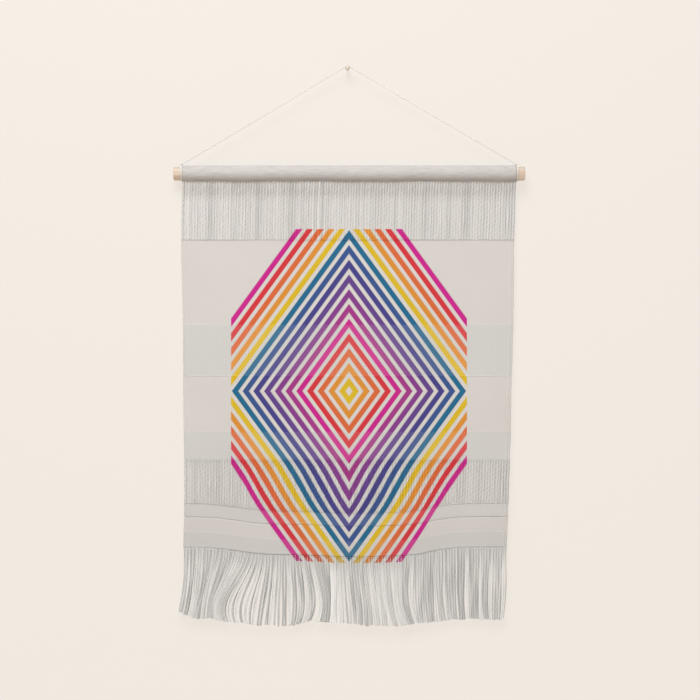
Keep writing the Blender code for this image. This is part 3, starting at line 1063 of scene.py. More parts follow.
@dataclass
class Studio:
    """The camera, the wall, the floor and the light."""

    lens: float = 85.0
    sensor: float = 36.0
    frame_size: float = 816.2 * MM
    centre: tuple[float, float] = (2.9 * MM, -329.0 * MM)
    subject_depth: float = -10.0 * MM
    wall_colour: Colour = linear(243, 236, 228)
    wall_size: float = 6.0
    floor_height: float = -1.25
    wall_glow: float = 0.785
    wall_share: float = 0.19
    sky: tuple[float, float] = (0.12, 0.74)
    sky_rise: tuple[float, float] = (-0.6, 0.9)
    key_power: float = 29.5
    key_size: float = 0.9
    key_distance: float = 1.95
    key_elevation: float = math.radians(50.0)
    key_azimuth: float = math.radians(-11.0)
    back_power: float = 16.0
    back_size: float = 1.2
    back_place: Point = (1.3, 1.6, 0.9)

    def place_camera(self) -> None:
        """Looks straight at the wall, as the photograph does."""
        data = bpy.data.cameras.new("camera")
        data.lens = self.lens
        data.sensor_width = self.sensor
        camera = bpy.data.objects.new("camera", data)
        distance = self.frame_size * self.lens / self.sensor
        camera.location = (self.centre[0], self.subject_depth - distance, self.centre[1])
        camera.rotation_euler = (math.radians(90.0), 0.0, 0.0)
        bpy.context.scene.collection.objects.link(camera)
        bpy.context.scene.camera = camera

    def stage_plane(self, name: str, corners: Sequence[Point], see_through: bool) -> None:
        """Makes a plain pale plane that isn't part of the object.

        Args:
            name: its name.
            corners: its four corners.
            see_through: whether it glows a little, throws no shadow and is clear from behind.
        """
        mesh = bpy.data.meshes.new(name)
        mesh.from_pydata(corners, [], [(0, 1, 2, 3)])
        plane = place_mesh(name, mesh)
        material, graph, shader = new_material(name)
        inputs = {"Base Color": (*self.wall_colour, 1.0), "Roughness": 1.0, "Specular IOR Level": 0.0}
        if see_through:
            inputs["Base Color"] = (*(channel * self.wall_share for channel in self.wall_colour), 1.0)
            inputs |= {"Emission Color": (*self.wall_colour, 1.0), "Emission Strength": self.wall_glow}
            plane.visible_shadow = False
            behind = graph.get("ShaderNodeNewGeometry", output="Backfacing")
            clear = graph.get("ShaderNodeBsdfTransparent")
            lit = Value(graph, shader.outputs[0])
            surface = material.node_tree.nodes["Material Output"].inputs["Surface"]
            graph.feed(surface, graph.get("ShaderNodeMixShader", {0: behind, 1: lit, 2: clear}))
        for name, value in inputs.items():
            graph.feed(shader.inputs[name], value)
        mesh.materials.append(material)

    def build_stage(self) -> None:
        """Makes the wall behind the object and the floor far below it."""
        half, low = self.wall_size / 2, self.floor_height
        wall = ((-half, 0.0, low), (half, 0.0, low), (half, 0.0, low + half), (-half, 0.0, low + half))
        self.stage_plane("wall", wall, see_through=True)
        floor = ((-half, -half, low), (half, -half, low), (half, half, low), (-half, half, low))
        self.stage_plane("floor", floor, see_through=False)

    def add_lamp(self, name: str, power: float, size: float, place: Point) -> None:
        """Adds an area lamp that shines at the middle of the object.

        Args:
            name: its name.
            power: its power, in watts.
            size: the length of its sides.
            place: where it stands.
        """
        data = bpy.data.lights.new(name, "AREA")
        data.energy = power
        data.size = size
        lamp = bpy.data.objects.new(name, data)
        lamp.location = place
        aim = Vector((0.0, 0.0, self.centre[1])) - Vector(place)
        lamp.rotation_euler = aim.to_track_quat("-Z", "Y").to_euler()
        bpy.context.scene.collection.objects.link(lamp)

    def light(self) -> None:
        """Lights the scene softly from above, from the left and, for the other views, from behind."""
        ahead = self.key_distance * math.cos(self.key_elevation)
        up = self.centre[1] + self.key_distance * math.sin(self.key_elevation)
        key = (ahead * math.sin(self.key_azimuth), -ahead * math.cos(self.key_azimuth), up)
        self.add_lamp("window_light", self.key_power, self.key_size, key)
        aside, behind, above = self.back_place
        for name, side in (("back_light_left", -aside), ("back_light_right", aside)):
            self.add_lamp(name, self.back_power, self.back_size, (side, behind, self.centre[1] + above))
        world = bpy.data.worlds.new("studio")
        world.use_nodes = True
        graph = Graph(world.node_tree)
        height = graph.get("ShaderNodeTexCoord", output="Generated").parts()[2]
        background = world.node_tree.nodes["Background"]
        background.inputs["Color"].default_value = WHITE
        graph.feed(background.inputs["Strength"], height.spread(*self.sky_rise, *self.sky))
        bpy.context.scene.world = world
        bpy.context.scene.view_settings.view_transform = "Standard"


@dataclass
class HangingCord:
    """The cord from one tie, over the shank of the nail, to the other, and the two ties."""

    radius: float = 0.6 * MM
    plies: int = 3
    groove: float = 0.18
    sides: int = 9
    unevenness: float = 0.06
    turn_length: float = 3.6 * MM
    step: float = 0.4 * MM
    route_steps: int = 8
    tie_turns: float = 2.0
    tie_steps: int = 40
    knot_radius: float = 1.25 * MM
    knot_steps: int = 48
    tie_centres: tuple[tuple[str, float], ...] = (("tie_left", -193.2 * MM), ("tie_right", 197.3 * MM))
    finish: YarnFinish = YarnFinish(name="cord_yarn", groove_painted_shade=0.94, fibre_shade=0.95)
    route: tuple[RoutePoint, ...] = table(
        RoutePoint, (-191.66, -111.83), (-186, -108.5), (-168, -97.9), (-140, -81.3), (-105, -60.5),
        (-70, -39.5), (-40, -21.5), (-18, -8.15), (-7, -1.45), (-3.2, 0.88), (-1.6, 1.8), (0, 2.42),
        (1.6, 1.8), (3.2, 0.9), (7, -1.34), (18, -7.82), (40, -20.8), (70, -38.5), (105, -59.1),
        (142, -80.7), (172, -98.1), (190, -108.5), (195.76, -111.83),
    )

    def centreline(self) -> list[Point]:
        """Reads points from a smooth curve through the route.

        Returns:
            The points of the cord's middle line.
        """
        route = [Vector((point.across * MM, FORM.rod_centre[1], point.height * MM)) for point in self.route]
        ends = [2 * route[0] - route[1]] + route + [2 * route[-1] - route[-2]]
        points = []
        for index in range(1, len(ends) - 2):
            before, start, end, after = ends[index - 1 : index + 3]
            for step in range(self.route_steps):
                share = step / self.route_steps
                pull = (end - before) * share
                bend = (2 * before - 5 * start + 4 * end - after) * share**2
                turn = (3 * start - before - 3 * end + after) * share**3
                points.append(tuple(start + 0.5 * (pull + bend + turn)))
        return [*points, tuple(route[-1])]

    def winding(self, across: float) -> list[Point]:
        """The middle line of the turns round the dowel.

        Args:
            across: the middle of the turns.

        Returns:
            Its points.
        """
        _, depth, height = FORM.rod_centre
        reach = FORM.rod_radius + FORM.gap + self.radius
        turns = int(self.tie_turns * self.tie_steps)
        points = []
        for step in range(turns + 1):
            angle = math.tau * step / self.tie_steps
            aside = self.radius * (2.0 * step / turns - 1.0)
            points.append((across + aside, depth + reach * math.sin(angle), height + reach * math.cos(angle)))
        return points

    def knot(self, across: float) -> list[Point]:
        """The middle line of the knot of a tie: a small trefoil on top of the turns.

        Args:
            across: the middle of the tie.

        Returns:
            Its points.
        """
        _, depth, height = FORM.rod_centre
        top = height + FORM.rod_radius + FORM.gap + 2.0 * self.radius + 0.75 * self.knot_radius
        size = self.knot_radius / 3.0
        points = []
        for step in range(self.knot_steps + 1):
            angle = math.tau * step / self.knot_steps
            aside = across + size * (math.sin(angle) + 2.0 * math.sin(2.0 * angle))
            ahead = depth + size * (math.cos(angle) - 2.0 * math.cos(2.0 * angle))
            points.append((aside, ahead, top - 1.4 * size * math.sin(3.0 * angle)))
        return points

    def lay(self, name: str, lines: Iterable[Iterable[Point]], material: Material, **facing: Point) -> Piece:
        """Lays cord of even girth along some lines.

        Args:
            name: the piece's name.
            lines: the points of each line.
            material: the cord's material.
            **facing: the yarn tree's facing, where it isn't its own.

        Returns:
            The piece.
        """
        guides = [[GuidePoint(point, NO_SHIFT, 1.0, 1.0, 0.0) for point in line] for line in lines]
        return lay_yarns(
            name, guides, material, radius=self.radius, plies=self.plies, groove=self.groove, sides=self.sides,
            turn_length=self.turn_length, step_length=self.step, unevenness=self.unevenness, **facing,
        )

    def build(self) -> list[Piece]:
        """Returns:
            The pieces.
        """
        material = self.finish.make()
        line = self.centreline()
        cord = hand_over(self.lay("cord", [line], material), "hanging_cord")
        ties = []
        for name, across in self.tie_centres:
            windings = [self.winding(across), self.knot(across)]
            tie = self.lay(name, windings, material, facing=(1.0, 0.0, 0.0))
            ties.append(hand_over(tie, f"cord_{name}"))
        return [cord, *ties]


@dataclass
class WovenCloth:
    """The woven parts of the cloth: the pocket round the dowel and the bands between the bare yarns."""

    thickness: float = 1.5 * MM
    edge_thin: float = 0.25
    edge_round: float = 0.9 * MM
    pocket_wall: float = 1.2 * MM
    pocket_sides: tuple[float, float] = (-191.7 * MM, 195.8 * MM)
    pocket_start: float = math.radians(187.0)
    slack: tuple[float, float] = (0.05 * MM, 1.25 * MM)
    pull_in: float = 0.70 * MM
    slack_lengths: tuple[float, float] = (145.0 * MM, 61.0 * MM)
    slack_phases: tuple[float, float] = (0.6, 2.0)
    ripple_depth: float = 0.10 * MM
    ripple_scale: tuple[float, float] = (45.0, 1.3)
    pocket_steps: int = 56
    pocket_offset: float = 12.8 * MM
    row_step: float = 3.2 * MM
    column_step: float = 3.1 * MM
    edge_columns: tuple[float, ...] = (0.0, 0.35, 0.9, 1.8, 2.8, 3.6, 4.0, 4.3, 4.6, 5.0, 6.0, 7.6)
    selvedge_ridge: float = 4.3 * MM
    selvedge_height: float = 0.30 * MM
    selvedge_width: float = 0.55 * MM
    coarse_rise: float = 0.12 * MM
    crease: float = 523.6 * MM
    crease_depth: float = 0.9 * MM
    crease_width: float = 0.55 * MM
    close_rows: tuple[float, ...] = (0.5, 0.9, 1.5)
    band_inset: float = 0.25 * MM
    edge_wobble: float = 0.25 * MM
    finish: WeaveFinish = WeaveFinish()
    upper_bands: tuple[Band, ...] = table(
        Band, (200, 299.8, Weave.FINE), (299.8, 359.2, Weave.COARSE), (359.2, 424.5, Weave.FINE),
        (424.5, 457.8, Weave.COARSE),
    )
    lower_bands: tuple[Band, ...] = table(
        Band, (507.2, 523.6, Weave.COARSE), (523.6, 541.1, Weave.FINE), (541.1, 558.6, Weave.COARSE)
    )

    def shares(self) -> list[float]:
        """The columns of the cloth, closer near its edges.

        Returns:
            Shares of the way across.
        """
        width = self.pocket_sides[1] - self.pocket_sides[0]
        near = [offset * MM / width for offset in self.edge_columns]
        count = int((1.0 - 2.0 * near[-1]) * width / self.column_step)
        middle = spaced(near[-1], 1.0 - near[-1], count)[1:-1]
        return near + middle + [1.0 - share for share in reversed(near)]

    def rows(self, bands: Sequence[Band]) -> list[tuple[float, float]]:
        """The rows of some bands that follow each other, with close ones at each change of weave.

        Args:
            bands: the bands, from the top down.

        Returns:
            The drop of each row and how coarse its weave is.
        """
        rows = []
        for band in bands:
            top, bottom = band.top * MM + self.band_inset, band.bottom * MM - self.band_inset
            drops = set(spaced(top, bottom, max(2, round((bottom - top) / self.row_step))))
            for near in self.close_rows:
                drops |= {top + near * MM, bottom - near * MM}
            rows += [(drop, band.weave.value) for drop in sorted(drops)]
        return rows

    def relief(self, offset: float, drop: float, coarse: float) -> float:
        """How far the front stands out from the cloth's plain thickness.

        Args:
            offset: the distance to the nearer side edge.
            drop: the place down the cloth.
            coarse: how coarse the weave is there.

        Returns:
            The relief, in metres.
        """
        ridge = self.selvedge_height * bump_at(offset, self.selvedge_ridge, self.selvedge_width)
        fold = self.crease_depth * bump_at(drop, self.crease, self.crease_width)
        return ridge + self.coarse_rise * coarse - fold

    def grids(self, rows: int) -> tuple[np.ndarray, ...]:
        """Empty grids for the front, the back and what each place holds."""
        return tuple(np.zeros((rows, len(self.shares()), depth)) for depth in (3, 3, 4))

    def panel(self, bands: Sequence[Band], chance: random.Random) -> tuple[np.ndarray, ...]:
        """Lays out some bands that follow each other.

        Args:
            bands: the bands, from the top down.
            chance: what the unevenness of the edges comes from.

        Returns:
            The front grid, the back grid, and the print place and weave of each point.
        """
        rows = self.rows(bands)
        front, back, held = self.grids(len(rows))
        for i, (drop, coarse) in enumerate(rows):
            left = FORM.side(drop, 0.0) + chance.uniform(-self.edge_wobble, self.edge_wobble)
            right = FORM.side(drop, 1.0) + chance.uniform(-self.edge_wobble, self.edge_wobble)
            for j, share in enumerate(self.shares()):
                across = between(left, right, share)
                offset = min(across - left, right - across)
                middle = FORM.depth(across, drop) + FORM.crumple(across, drop)
                height = -(drop + FORM.sag(across, drop))
                round_off = math.sqrt(max(0.0, 1.0 - (1.0 - min(1.0, offset / self.edge_round)) ** 2))
                half = 0.5 * self.thickness * between(self.edge_thin, 1.0, round_off)
                front[i, j] = (across, middle - half - self.relief(offset, drop, coarse), height)
                back[i, j] = (across, middle + half, height)
                held[i, j] = (across, drop, coarse, offset)
        return front, back, held

    def pocket(self) -> tuple[np.ndarray, ...]:
        """Lays out the pocket from the seam: up the front of the dowel, over its top and down its back.

        Returns:
            The outer grid, the inner grid, and the print place and weave of each point.
        """
        _, depth, height = FORM.rod_centre
        half = 0.5 * self.pocket_wall
        radius = FORM.rod_radius + FORM.gap + half
        leave = math.pi - math.asin(FORM.back_set / radius)
        sweep = math.tau - self.pocket_start + leave
        outer, inner, held = self.grids(self.pocket_steps + 1)
        for j, share in enumerate(self.shares()):
            across = between(*self.pocket_sides, share)
            slack = 0.5 + 0.5 * FORM.waves(across, self.slack_lengths, self.slack_phases)
            for i in range(self.pocket_steps + 1):
                turn = self.pocket_start + sweep * (1.0 - i / self.pocket_steps)
                lowness = 0.5 - 0.5 * math.cos(turn)
                loose = slack * between(*self.slack, lowness) - self.pull_in * lowness
                spot = Vector((across * self.ripple_scale[0], turn * self.ripple_scale[1], 0.0))
                out = radius + half + loose + self.ripple_depth * noise.noise(spot)
                for grid, reach in ((outer, out), (inner, radius - half)):
                    grid[i, j] = (across, depth + reach * math.sin(turn), height + reach * math.cos(turn))
                around = radius * sweep * i / self.pocket_steps
                held[i, j] = (across, FORM.top - around, 0.0, self.pocket_offset)
        return outer, inner, held

    def build(self) -> list[Piece]:
        """Makes the woven cloth.

        Returns:
            The piece, in a list.
        """
        chance = random.Random(SEED)
        parts = [self.pocket(), self.panel(self.upper_bands, chance), self.panel(self.lower_bands, chance)]
        cloth = closed_sheet("woven_cloth", parts, self.finish.make())
        return [hand_over(cloth, "cloth")]


@dataclass
class OpenBand:
    """A band of bare warp yarns, in two layers."""

    name: str
    top: float
    bottom: float
    yarns: int = 120
    radius: float = 1.60 * MM
    groove: float = 0.24
    turn_length: float = 11.0 * MM
    unevenness: float = 0.10
    tone: float = 1.0
    edge_calm: float = 0.04
    phase_step: float = 0.20
    set_backs: tuple[float, float] = (-0.45 * MM, 0.35 * MM)
    back_painted_shade: float = 0.92
    loose_share: float = 0.14
    loose_places: tuple[float, float] = (0.55, 0.85)
    loose_width: float = 0.2
    loose_lift: float = 0.9 * MM
    loose_painted_light: float = 1.12
    bunch_shift: float = 0.6 * MM
    bunch_lengths: tuple[float, float] = (31.0 * MM, 13.5 * MM)
    bunch_phases: tuple[float, float] = (0.4, 1.1)
    stray: float = 0.35 * MM
    lift: float = 0.3 * MM
    shade_spread: float = 0.04
    end_girth: float = 0.86
    print_pull: float = 0.6
    lead: float = 0.0
    lead_length: float = 22.0 * MM
    top_painted_shading: float = 0.0
    bottom_painted_shading: float = 0.0
    tone_length: float = 9.0 * MM
    streaks: tuple[Streak, ...] = ()
    guide_rows: int = 13

    def line(self, index: int, layer: Layer, chance: random.Random) -> list[GuidePoint]:
        """The middle line of a yarn.

        Args:
            index: the yarn's number from the left.
            layer: the layer that it is in.
            chance: what its unevenness comes from.

        Returns:
            The line's points, from the top down.
        """
        in_front = layer is Layer.FRONT
        share = min(1.0 - 0.3 / self.yarns, (index + (0.5 if in_front else 1.0)) / self.yarns)
        stray = chance.uniform(-self.stray, self.stray)
        lift = chance.uniform(-self.lift, self.lift)
        shade = self.tone + chance.uniform(-self.shade_spread, self.shade_spread)
        is_loose = in_front and chance.random() < self.loose_share
        loose_at = chance.uniform(*self.loose_places)
        set_back = self.set_backs[0 if in_front else 1]
        # The back layer is darkened: painted shade behind the front yarns.
        if not in_front:
            shade *= self.back_painted_shade
        middle = FORM.side(0.5 * (self.top + self.bottom), share)
        calm = smooth(min(share, 1.0 - share) / self.edge_calm)
        # Streaks: painted light on a few strands, painted shade where yarns part.
        for streak in self.streaks:
            shade += streak.tone * bump_at(middle, streak.across * MM, streak.width * MM)
        points = []
        for down in spaced(0.0, 1.0, self.guide_rows - 1):
            drop = between(self.top, self.bottom, down)
            root = FORM.side(drop, share)
            free = math.sin(math.pi * down)
            bunch = self.bunch_shift * FORM.waves(root, self.bunch_lengths, self.bunch_phases)
            across = root + free * calm * (bunch + stray)
            hump = bump_at(down, loose_at, self.loose_width) * free if is_loose else 0.0
            depth = FORM.depth(root, drop) + set_back + free * lift - self.loose_lift * hump
            depth -= self.lead * (1.0 - smooth((drop - self.top) / self.lead_length))
            sag = FORM.sag(root, drop)
            girth = between(self.end_girth, 1.0, smooth(3.0 * min(down, 1.0 - down)))
            # Loose strands that stand forward get a painted highlight.
            tone = shade * between(1.0, self.loose_painted_light, hump)
            # Painted shading near the band's ends: painted light that lifts the pocket's shadow at the top of
            # the upper band, and painted shade at the top and bottom of the lower band.
            tone += self.top_painted_shading * (1.0 - smooth((drop - self.top) / self.tone_length))
            tone += self.bottom_painted_shading * (1.0 - smooth((self.bottom - drop) / self.tone_length))
            shift = (self.print_pull * (root - across), -sag)
            place = (across, depth, -(drop + sag))
            points.append(GuidePoint(place, shift, girth, tone, self.phase_step * index))
        return points

    def build(self, material: Material) -> list[Piece]:
        """Lays the band's yarns.

        Args:
            material: the yarns' material.

        Returns:
            The front layer and the back one.
        """
        chance = random.Random(SEED)
        pieces = []
        for layer, step, sides in ((Layer.FRONT, 0.95 * MM, 8), (Layer.BACK, 2.2 * MM, 6)):
            lines = [self.line(index, layer, chance) for index in range(self.yarns)]
            piece = lay_yarns(
                f"{self.name}_{layer.value}", lines, material, radius=self.radius, groove=self.groove,
                turn_length=self.turn_length, step_length=step, sides=sides, unevenness=self.unevenness,
            )
            pieces.append(hand_over(piece, "cloth"))
        return pieces


UPPER_BAND = OpenBand(
    "upper_warp", 132.1 * MM, 200.4 * MM, tone=0.95, lead=4.0 * MM, top_painted_shading=0.06,
    streaks=table(
        Streak, (-187.5, 2.2, 0.10), (-179.7, 1.4, 0.08), (-168, 2, 0.07), (-160.1, 3.2, -0.11),
        (-148.4, 1.6, 0.08), (-139.6, 2, 0.10), (-126.3, 2.2, 0.05), (-104.8, 3.4, -0.12), (-83, 1.6, 0.07),
        (-64.7, 3, -0.12), (-52.7, 1.4, -0.10), (-41, 1.5, 0.10), (-37.8, 1.2, -0.15), (-34, 1.5, 0.10),
        (-29.8, 1.5, -0.13), (91, 3, -0.09), (118, 1.8, -0.08), (138.7, 4, -0.09),
    ),
)
LOWER_BAND = OpenBand(
    "lower_warp", 457.4 * MM, 507.6 * MM, tone=0.93, bunch_shift=0.4 * MM, stray=0.25 * MM, top_painted_shading=-0.06,
    bottom_painted_shading=-0.05, tone_length=5.0 * MM, streaks=table(Streak, (-186, 2.4, 0.06), (-150, 3, -0.08)),
)


@dataclass
class Fringe:
    """The warp yarns that leave the lower edge, gathered by chance into locks."""

    left: float = -191.0 * MM
    right: float = 184.6 * MM
    threads: int = 240
    radius: float = 0.78 * MM
    groove: float = 0.24
    turn_length: float = 12.0 * MM
    turn_step: float = 0.13
    step: float = 2.3 * MM
    sides: int = 6
    unevenness: float = 0.12
    header_painted_shade: float = 0.86
    header_proud: float = 0.10 * MM
    header_sink: float = 0.45 * MM
    header_sunk_at: float = 6.0 * MM
    header_past: tuple[float, float] = (0.6 * MM, 1.6 * MM)
    header_rows: tuple[float, float] = (0.2 * MM, 2.5 * MM)
    head_painted_shade: float = -0.12
    head_share: float = 0.30
    root_gap: float = 0.06 * MM
    tone_share: float = 0.90
    tone_lift: float = 0.04
    belly_at: float = 0.57
    lowest: float = 651.5 * MM
    free_share: float = 0.35
    set_share: float = 0.1
    tress_gather: tuple[float, float] = (0.08, 0.26)
    tress_sway: float = 0.8 * MM
    tress_bulge: float = 0.7 * MM
    bulge_middle: float = 0.6
    tress_uneven: float = 1.0 * MM
    least_width: float = 1.0 * MM
    side_painted_shade: float = 0.05
    thread_tone: float = 0.06
    thread_depth: float = 0.25 * MM
    back_thread_painted_shade: float = -0.16
    back_set: float = 1.0 * MM
    back_girth: float = 1.45
    tip_girth: float = 0.94
    tip_uneven: float = 0.7 * MM
    thread_sway: float = 0.3 * MM
    thread_waves: float = 1.3
    guide_rows: int = 14
    locks: tuple[Lock, ...] = table(
        Lock, (-191, -1.5, -6.5, 634.5), (-176, -2.5, -9, 638.5), (-164, -4.5, -11.5, 641.5),
        (-138, -14, -19, 642.5), (-118, -21, -25.5, 645), (-105, -15, -18, 648), (-94, -6, -12, 649.5),
        (-73, 0, 0, 650), (-60, 3.5, 0, 649), (-45, 7.5, 2.5, 645.5), (-40, 9, 6.5, 646.5),
        (-19, 0.5, 0, 647), (-3, 3, 5.5, 647.5), (22, 4.5, 7.5, 650.5), (47, 3.5, 11, 650.5),
        (70, -1.5, 5.5, 648.5), (91, 0, 2.5, 646.5), (112, 0, 3.5, 644.5), (139, 0, 1, 643),
        (165, -2, -1, 643.5), (184.6, 0.5, -2.5, 643),
    )
    tresses: tuple[Tress, ...] = table(
        Tress, (-192.5, 0.88, -0.1), (-191, 1.08, 0.6), (-187, 0.80, -0.3), (-178.2, 0.97, 0.3),
        (-171.8, 0.76, -0.7), (-167, 0.95, 0.3), (-163.2, 1.10, 0.8), (-155.5, 0.78, -0.6),
        (-144.2, 1.00, 0.4), (-138.5, 0.86, -0.3), (-134.4, 1.08, 0.8), (-131.2, 0.78, -0.6),
        (-125.4, 1.12, 1.0), (-120.3, 0.76, -0.7), (-116.8, 1.09, 0.8), (-112.8, 0.78, -0.6),
        (-108, 1.08, 0.7), (-99.6, 0.78, -0.5), (-96.5, 1.07, 0.7), (-92, 0.76, -0.6), (-88.6, 1.12, 0.8),
        (-83, 0.91, 0.2), (-77.5, 0.88, -0.2), (-70.5, 0.80, -0.4), (-66.9, 1.08, 0.8), (-61.8, 0.80, -0.4),
        (-60.2, 1.06, 0.5), (-54.2, 0.78, -0.5), (-49, 1.10, 0.9), (-41, 0.76, -0.4), (-32.8, 1.14, 1.3),
        (-19.8, 0.72, -0.9), (-11, 1.22, 1.4), (-2, 1.17, 1.2), (2.6, 0.80, -0.4), (5.6, 1.02, 0.5),
        (10.4, 0.80, -0.5), (12.9, 1.08, 0.7), (18.5, 0.80, -0.4), (24.2, 0.84, -0.4), (29.9, 0.97, 0.2),
        (38.5, 1.06, 0.6), (47.3, 1.04, 0.4), (51.9, 1.12, 0.9), (60.6, 0.93, -0.1), (71.1, 1.06, 0.6),
        (77.9, 0.78, -0.6), (81.8, 1.12, 0.9), (91.2, 0.89, 0.1), (103.4, 0.78, -0.4), (105.9, 1.06, 0.6),
        (115.4, 0.86, 0.0), (117.3, 1.06, 0.5), (128.7, 0.80, -0.3), (130.7, 1.05, 0.5), (139.3, 0.74, -0.6),
        (143.5, 1.12, 1.0), (154.8, 0.76, -0.5), (157, 1.10, 0.9), (164.1, 0.76, -0.5), (167, 1.06, 0.6),
        (176.9, 0.90, 0.1), (178.4, 0.76, -0.3), (181.2, 1.10, 0.7), (200, 0.92, 0.2),
    )

    def shift(self, across: float, share: float) -> float:
        """How far a thread has swayed sideways at a share of its length.

        Args:
            across: where it leaves the cloth.
            share: 0 at the root, 1 at the tip.

        Returns:
            The sway, in metres.
        """
        belly = read_table(self.locks, "belly", across)
        tip = read_table(self.locks, "tip", across)
        cubic = (tip - belly / self.belly_at**2) / (1.0 - self.belly_at)
        return share**2 * (tip - cubic + cubic * share)

    def header_set(self, across: float) -> float:
        """How far behind the cloth's middle plane the twined rows lie: further where the cloth sags."""
        sag = FORM.sag(across, FORM.bottom)
        return self.header_sink * smooth(sag / self.header_sunk_at) - self.header_proud

    def tress_lines(self, tress: Tress, roots: list[float], chance: random.Random) -> list[list[GuidePoint]]:
        """The middle lines of the threads of one tress.

        Args:
            tress: its tone, painted lighter when it stands forward and darker when it lies back, and how far it
                stands forward.
            roots: where its threads leave the cloth, from the left.
            chance: what its unevenness comes from.

        Returns:
            A line for each thread, from the root down.
        """
        middle = 0.5 * (roots[0] + roots[-1])
        width = max(self.least_width, 0.5 * (roots[-1] - roots[0]))
        sway = chance.uniform(-self.tress_sway, self.tress_sway)
        gather = chance.uniform(*self.tress_gather)
        lower = chance.uniform(-self.tress_uneven, self.tress_uneven)
        half_pitch = 0.5 * (self.right - self.left) / self.threads
        layers = [(root, Layer.FRONT) for root in roots]
        layers += [(root + half_pitch, Layer.BACK) for root in roots[::2]]
        lines = []
        for root, layer in layers:
            aside = (root - middle) / width
            bulge = tress.forward * MM + self.tress_bulge * (self.bulge_middle - aside * aside)
            set_back = chance.uniform(-self.thread_depth, self.thread_depth)
            thread = 1.0 + chance.uniform(-self.thread_tone, self.thread_tone)
            thick = 1.0
            # Back threads are darkened: painted shade behind the front ones.
            if layer is Layer.BACK:
                set_back += self.back_set
                thread += self.back_thread_painted_shade
                thick = self.back_girth
            phase = chance.uniform(0.0, math.tau)
            turn = 0.5 * self.turn_step * root / half_pitch
            end = chance.uniform(-self.tip_uneven, self.tip_uneven)
            # The tress's tone as painted light and shade, with painted shade on each lock's right side.
            turned = self.tone_share * (tress.tone - 1.0) + self.tone_lift - self.side_painted_shade * aside
            top = FORM.bottom + FORM.sag(root, FORM.bottom) + self.root_gap
            reach = min(read_table(self.locks, "reach", root) + lower + end, self.lowest)
            points = []
            for share in spaced(0.0, 1.0, self.guide_rows - 1):
                free = smooth(share / self.free_share)
                across = root - smooth(share) * gather * (root - middle)
                across += self.shift(between(root, middle, 0.5), share)
                across += sway * share**2 * (1.0 - share) * 4.0
                across += self.thread_sway * free * math.sin(math.tau * self.thread_waves * share + phase)
                depth = FORM.depth(root, FORM.bottom) + set_back * smooth(share / self.set_share) - free * bulge
                place = (across, depth, -(top + share * (reach - top)))
                shift = (root - across, -FORM.sag(root, FORM.bottom))
                girth = thick * between(1.0, self.tip_girth, share)
                # Painted light and shade of the tress, and painted shade at the head, just under the cloth.
                tone = thread + turned * free + self.head_painted_shade * (1.0 - smooth(share / self.head_share))
                points.append(GuidePoint(place, shift, girth, tone, turn))
            lines.append(points)
        return lines

    def group(self) -> list[tuple[Tress, list[float]]]:
        """Sorts the threads into tresses by where their tips hang.

        Returns:
            Each tress with where its threads leave the cloth.
        """
        groups: list[tuple[Tress, list[float]]] = [(tress, []) for tress in self.tresses]
        for index in range(self.threads):
            root = between(self.left, self.right, (index + 0.5) / self.threads)
            tip = root + self.shift(root, 1.0)
            next(roots for tress, roots in groups if tip <= tress.edge * MM).append(root)
        return [(tress, roots) for tress, roots in groups if roots]

    def build(self, material: Material) -> list[Piece]:
        """Lays the fringe and the two twined rows at its head.

        Args:
            material: the yarns' material.

        Returns:
            The pieces.
        """
        chance = random.Random(SEED)
        lines = []
        for tress, roots in self.group():
            lines += self.tress_lines(tress, roots, chance)
        threads = lay_yarns(
            "fringe_threads", lines, material, radius=self.radius, step_length=self.step, sides=self.sides,
            groove=self.groove, turn_length=self.turn_length, unevenness=self.unevenness,
        )
        start, end = self.left - self.header_past[0], self.right + self.header_past[1]
        # The twined rows are darkened: painted shade under the cloth's edge.
        rows = [
            cross_line(start, end, FORM.bottom + below, self.header_painted_shade, self.header_set)
            for below in self.header_rows
        ]
        header = lay_yarns(
            "fringe_header", rows, material, radius=0.85 * MM, step_length=0.8 * MM, groove=0.45,
            turn_length=3.2 * MM, sides=8,
        )
        return [hand_over(piece, "fringe") for piece in (threads, header)]


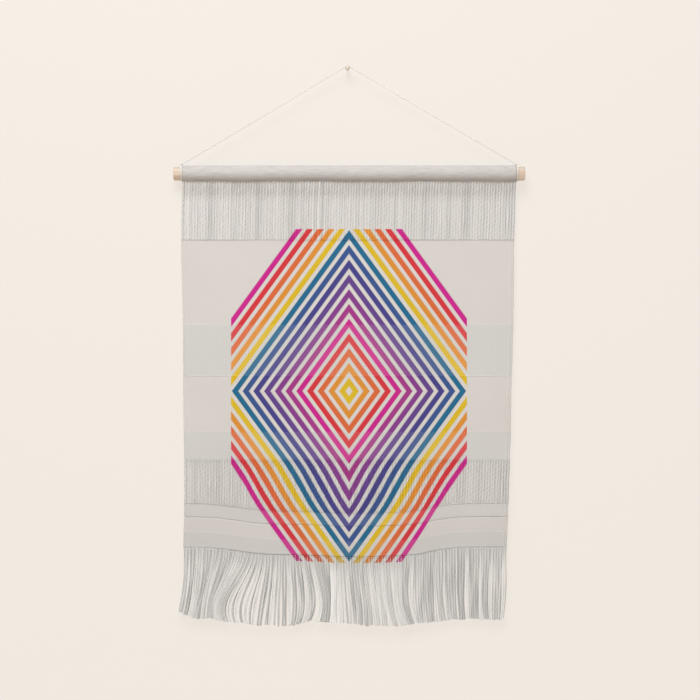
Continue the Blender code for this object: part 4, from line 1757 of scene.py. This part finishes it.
@dataclass
class Picks:
    """The heavier weft yarns that close the woven bands."""

    picks: tuple[Pick, ...] = table(Pick, (199.6, 1.04), (359.2, 1.04), (458, 0.93), (507, 1.00))
    radius: float = 0.6 * MM
    proud: float = 0.72 * MM
    inset: float = 5.0 * MM

    def line(self, pick: Pick) -> list[GuidePoint]:
        """The middle line of a pick, from the left.

        Args:
            pick: the pick.

        Returns:
            Its points.
        """
        drop = pick.drop * MM
        start, end = FORM.side(drop, 0.0) + self.inset, FORM.side(drop, 1.0) - self.inset
        return cross_line(start, end, drop, pick.tone, lambda across: FORM.crumple(across, drop) - self.proud)

    def build(self, material: Material) -> list[Piece]:
        """Lays the picks.

        Args:
            material: the yarns' material.

        Returns:
            The piece, in a list.
        """
        piece = lay_yarns(
            "heavy_picks", [self.line(pick) for pick in self.picks], material, radius=self.radius,
            groove=0.35, turn_length=4.0 * MM, step_length=0.8 * MM, sides=6,
        )
        return [hand_over(piece, "cloth")]


@dataclass
class Fittings:
    """The dowel and the nail, which keep their own solids."""

    wood: WoodFinish = WoodFinish()
    paint: PaintFinish = PaintFinish()
    sharp_from: float = math.radians(40.0)

    def build(self) -> list[Piece]:
        """Gives the dowel and the nail their finishes.

        Returns:
            The two pieces.
        """
        finishes = {"dowel": self.wood, "nail": self.paint}
        for node, finish in finishes.items():
            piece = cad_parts[node]
            material = finish.make()
            for holder in piece.material_slots:
                holder.material = material
            piece.data.shade_smooth()
            piece.data.set_sharp_from_angle(angle=self.sharp_from)
        return [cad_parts[node] for node in finishes]


def report(pieces: Iterable[Piece]) -> None:
    """Logs the name and the number of triangles of each piece."""
    for piece in pieces:
        LOG.info("%s: %d triangles", piece.name, sum(len(face.vertices) - 2 for face in piece.data.polygons))


def main() -> None:
    """Builds the wall hanging and its setting."""
    logging.basicConfig(level=logging.INFO, format="%(message)s")
    studio = Studio()
    studio.place_camera()
    YarnTree().make()
    report(HangingCord().build())
    studio.build_stage()
    studio.light()
    warp = YarnFinish(name="warp_yarn", colour=linear(231, 228, 224), printed=True, groove_painted_shade=0.90).make()
    loose = YarnFinish(name="fringe_yarn", colour=linear(246, 245, 242), printed=True, groove_painted_shade=0.86).make()
    cloth = WovenCloth().build()
    yarns = [*UPPER_BAND.build(warp), *LOWER_BAND.build(warp)]
    fringe = Fringe().build(loose)
    yarns += [*Picks().build(warp), *fringe]
    report([*cloth, *yarns, *Fittings().build()])


if __name__ == "__main__":
    main()
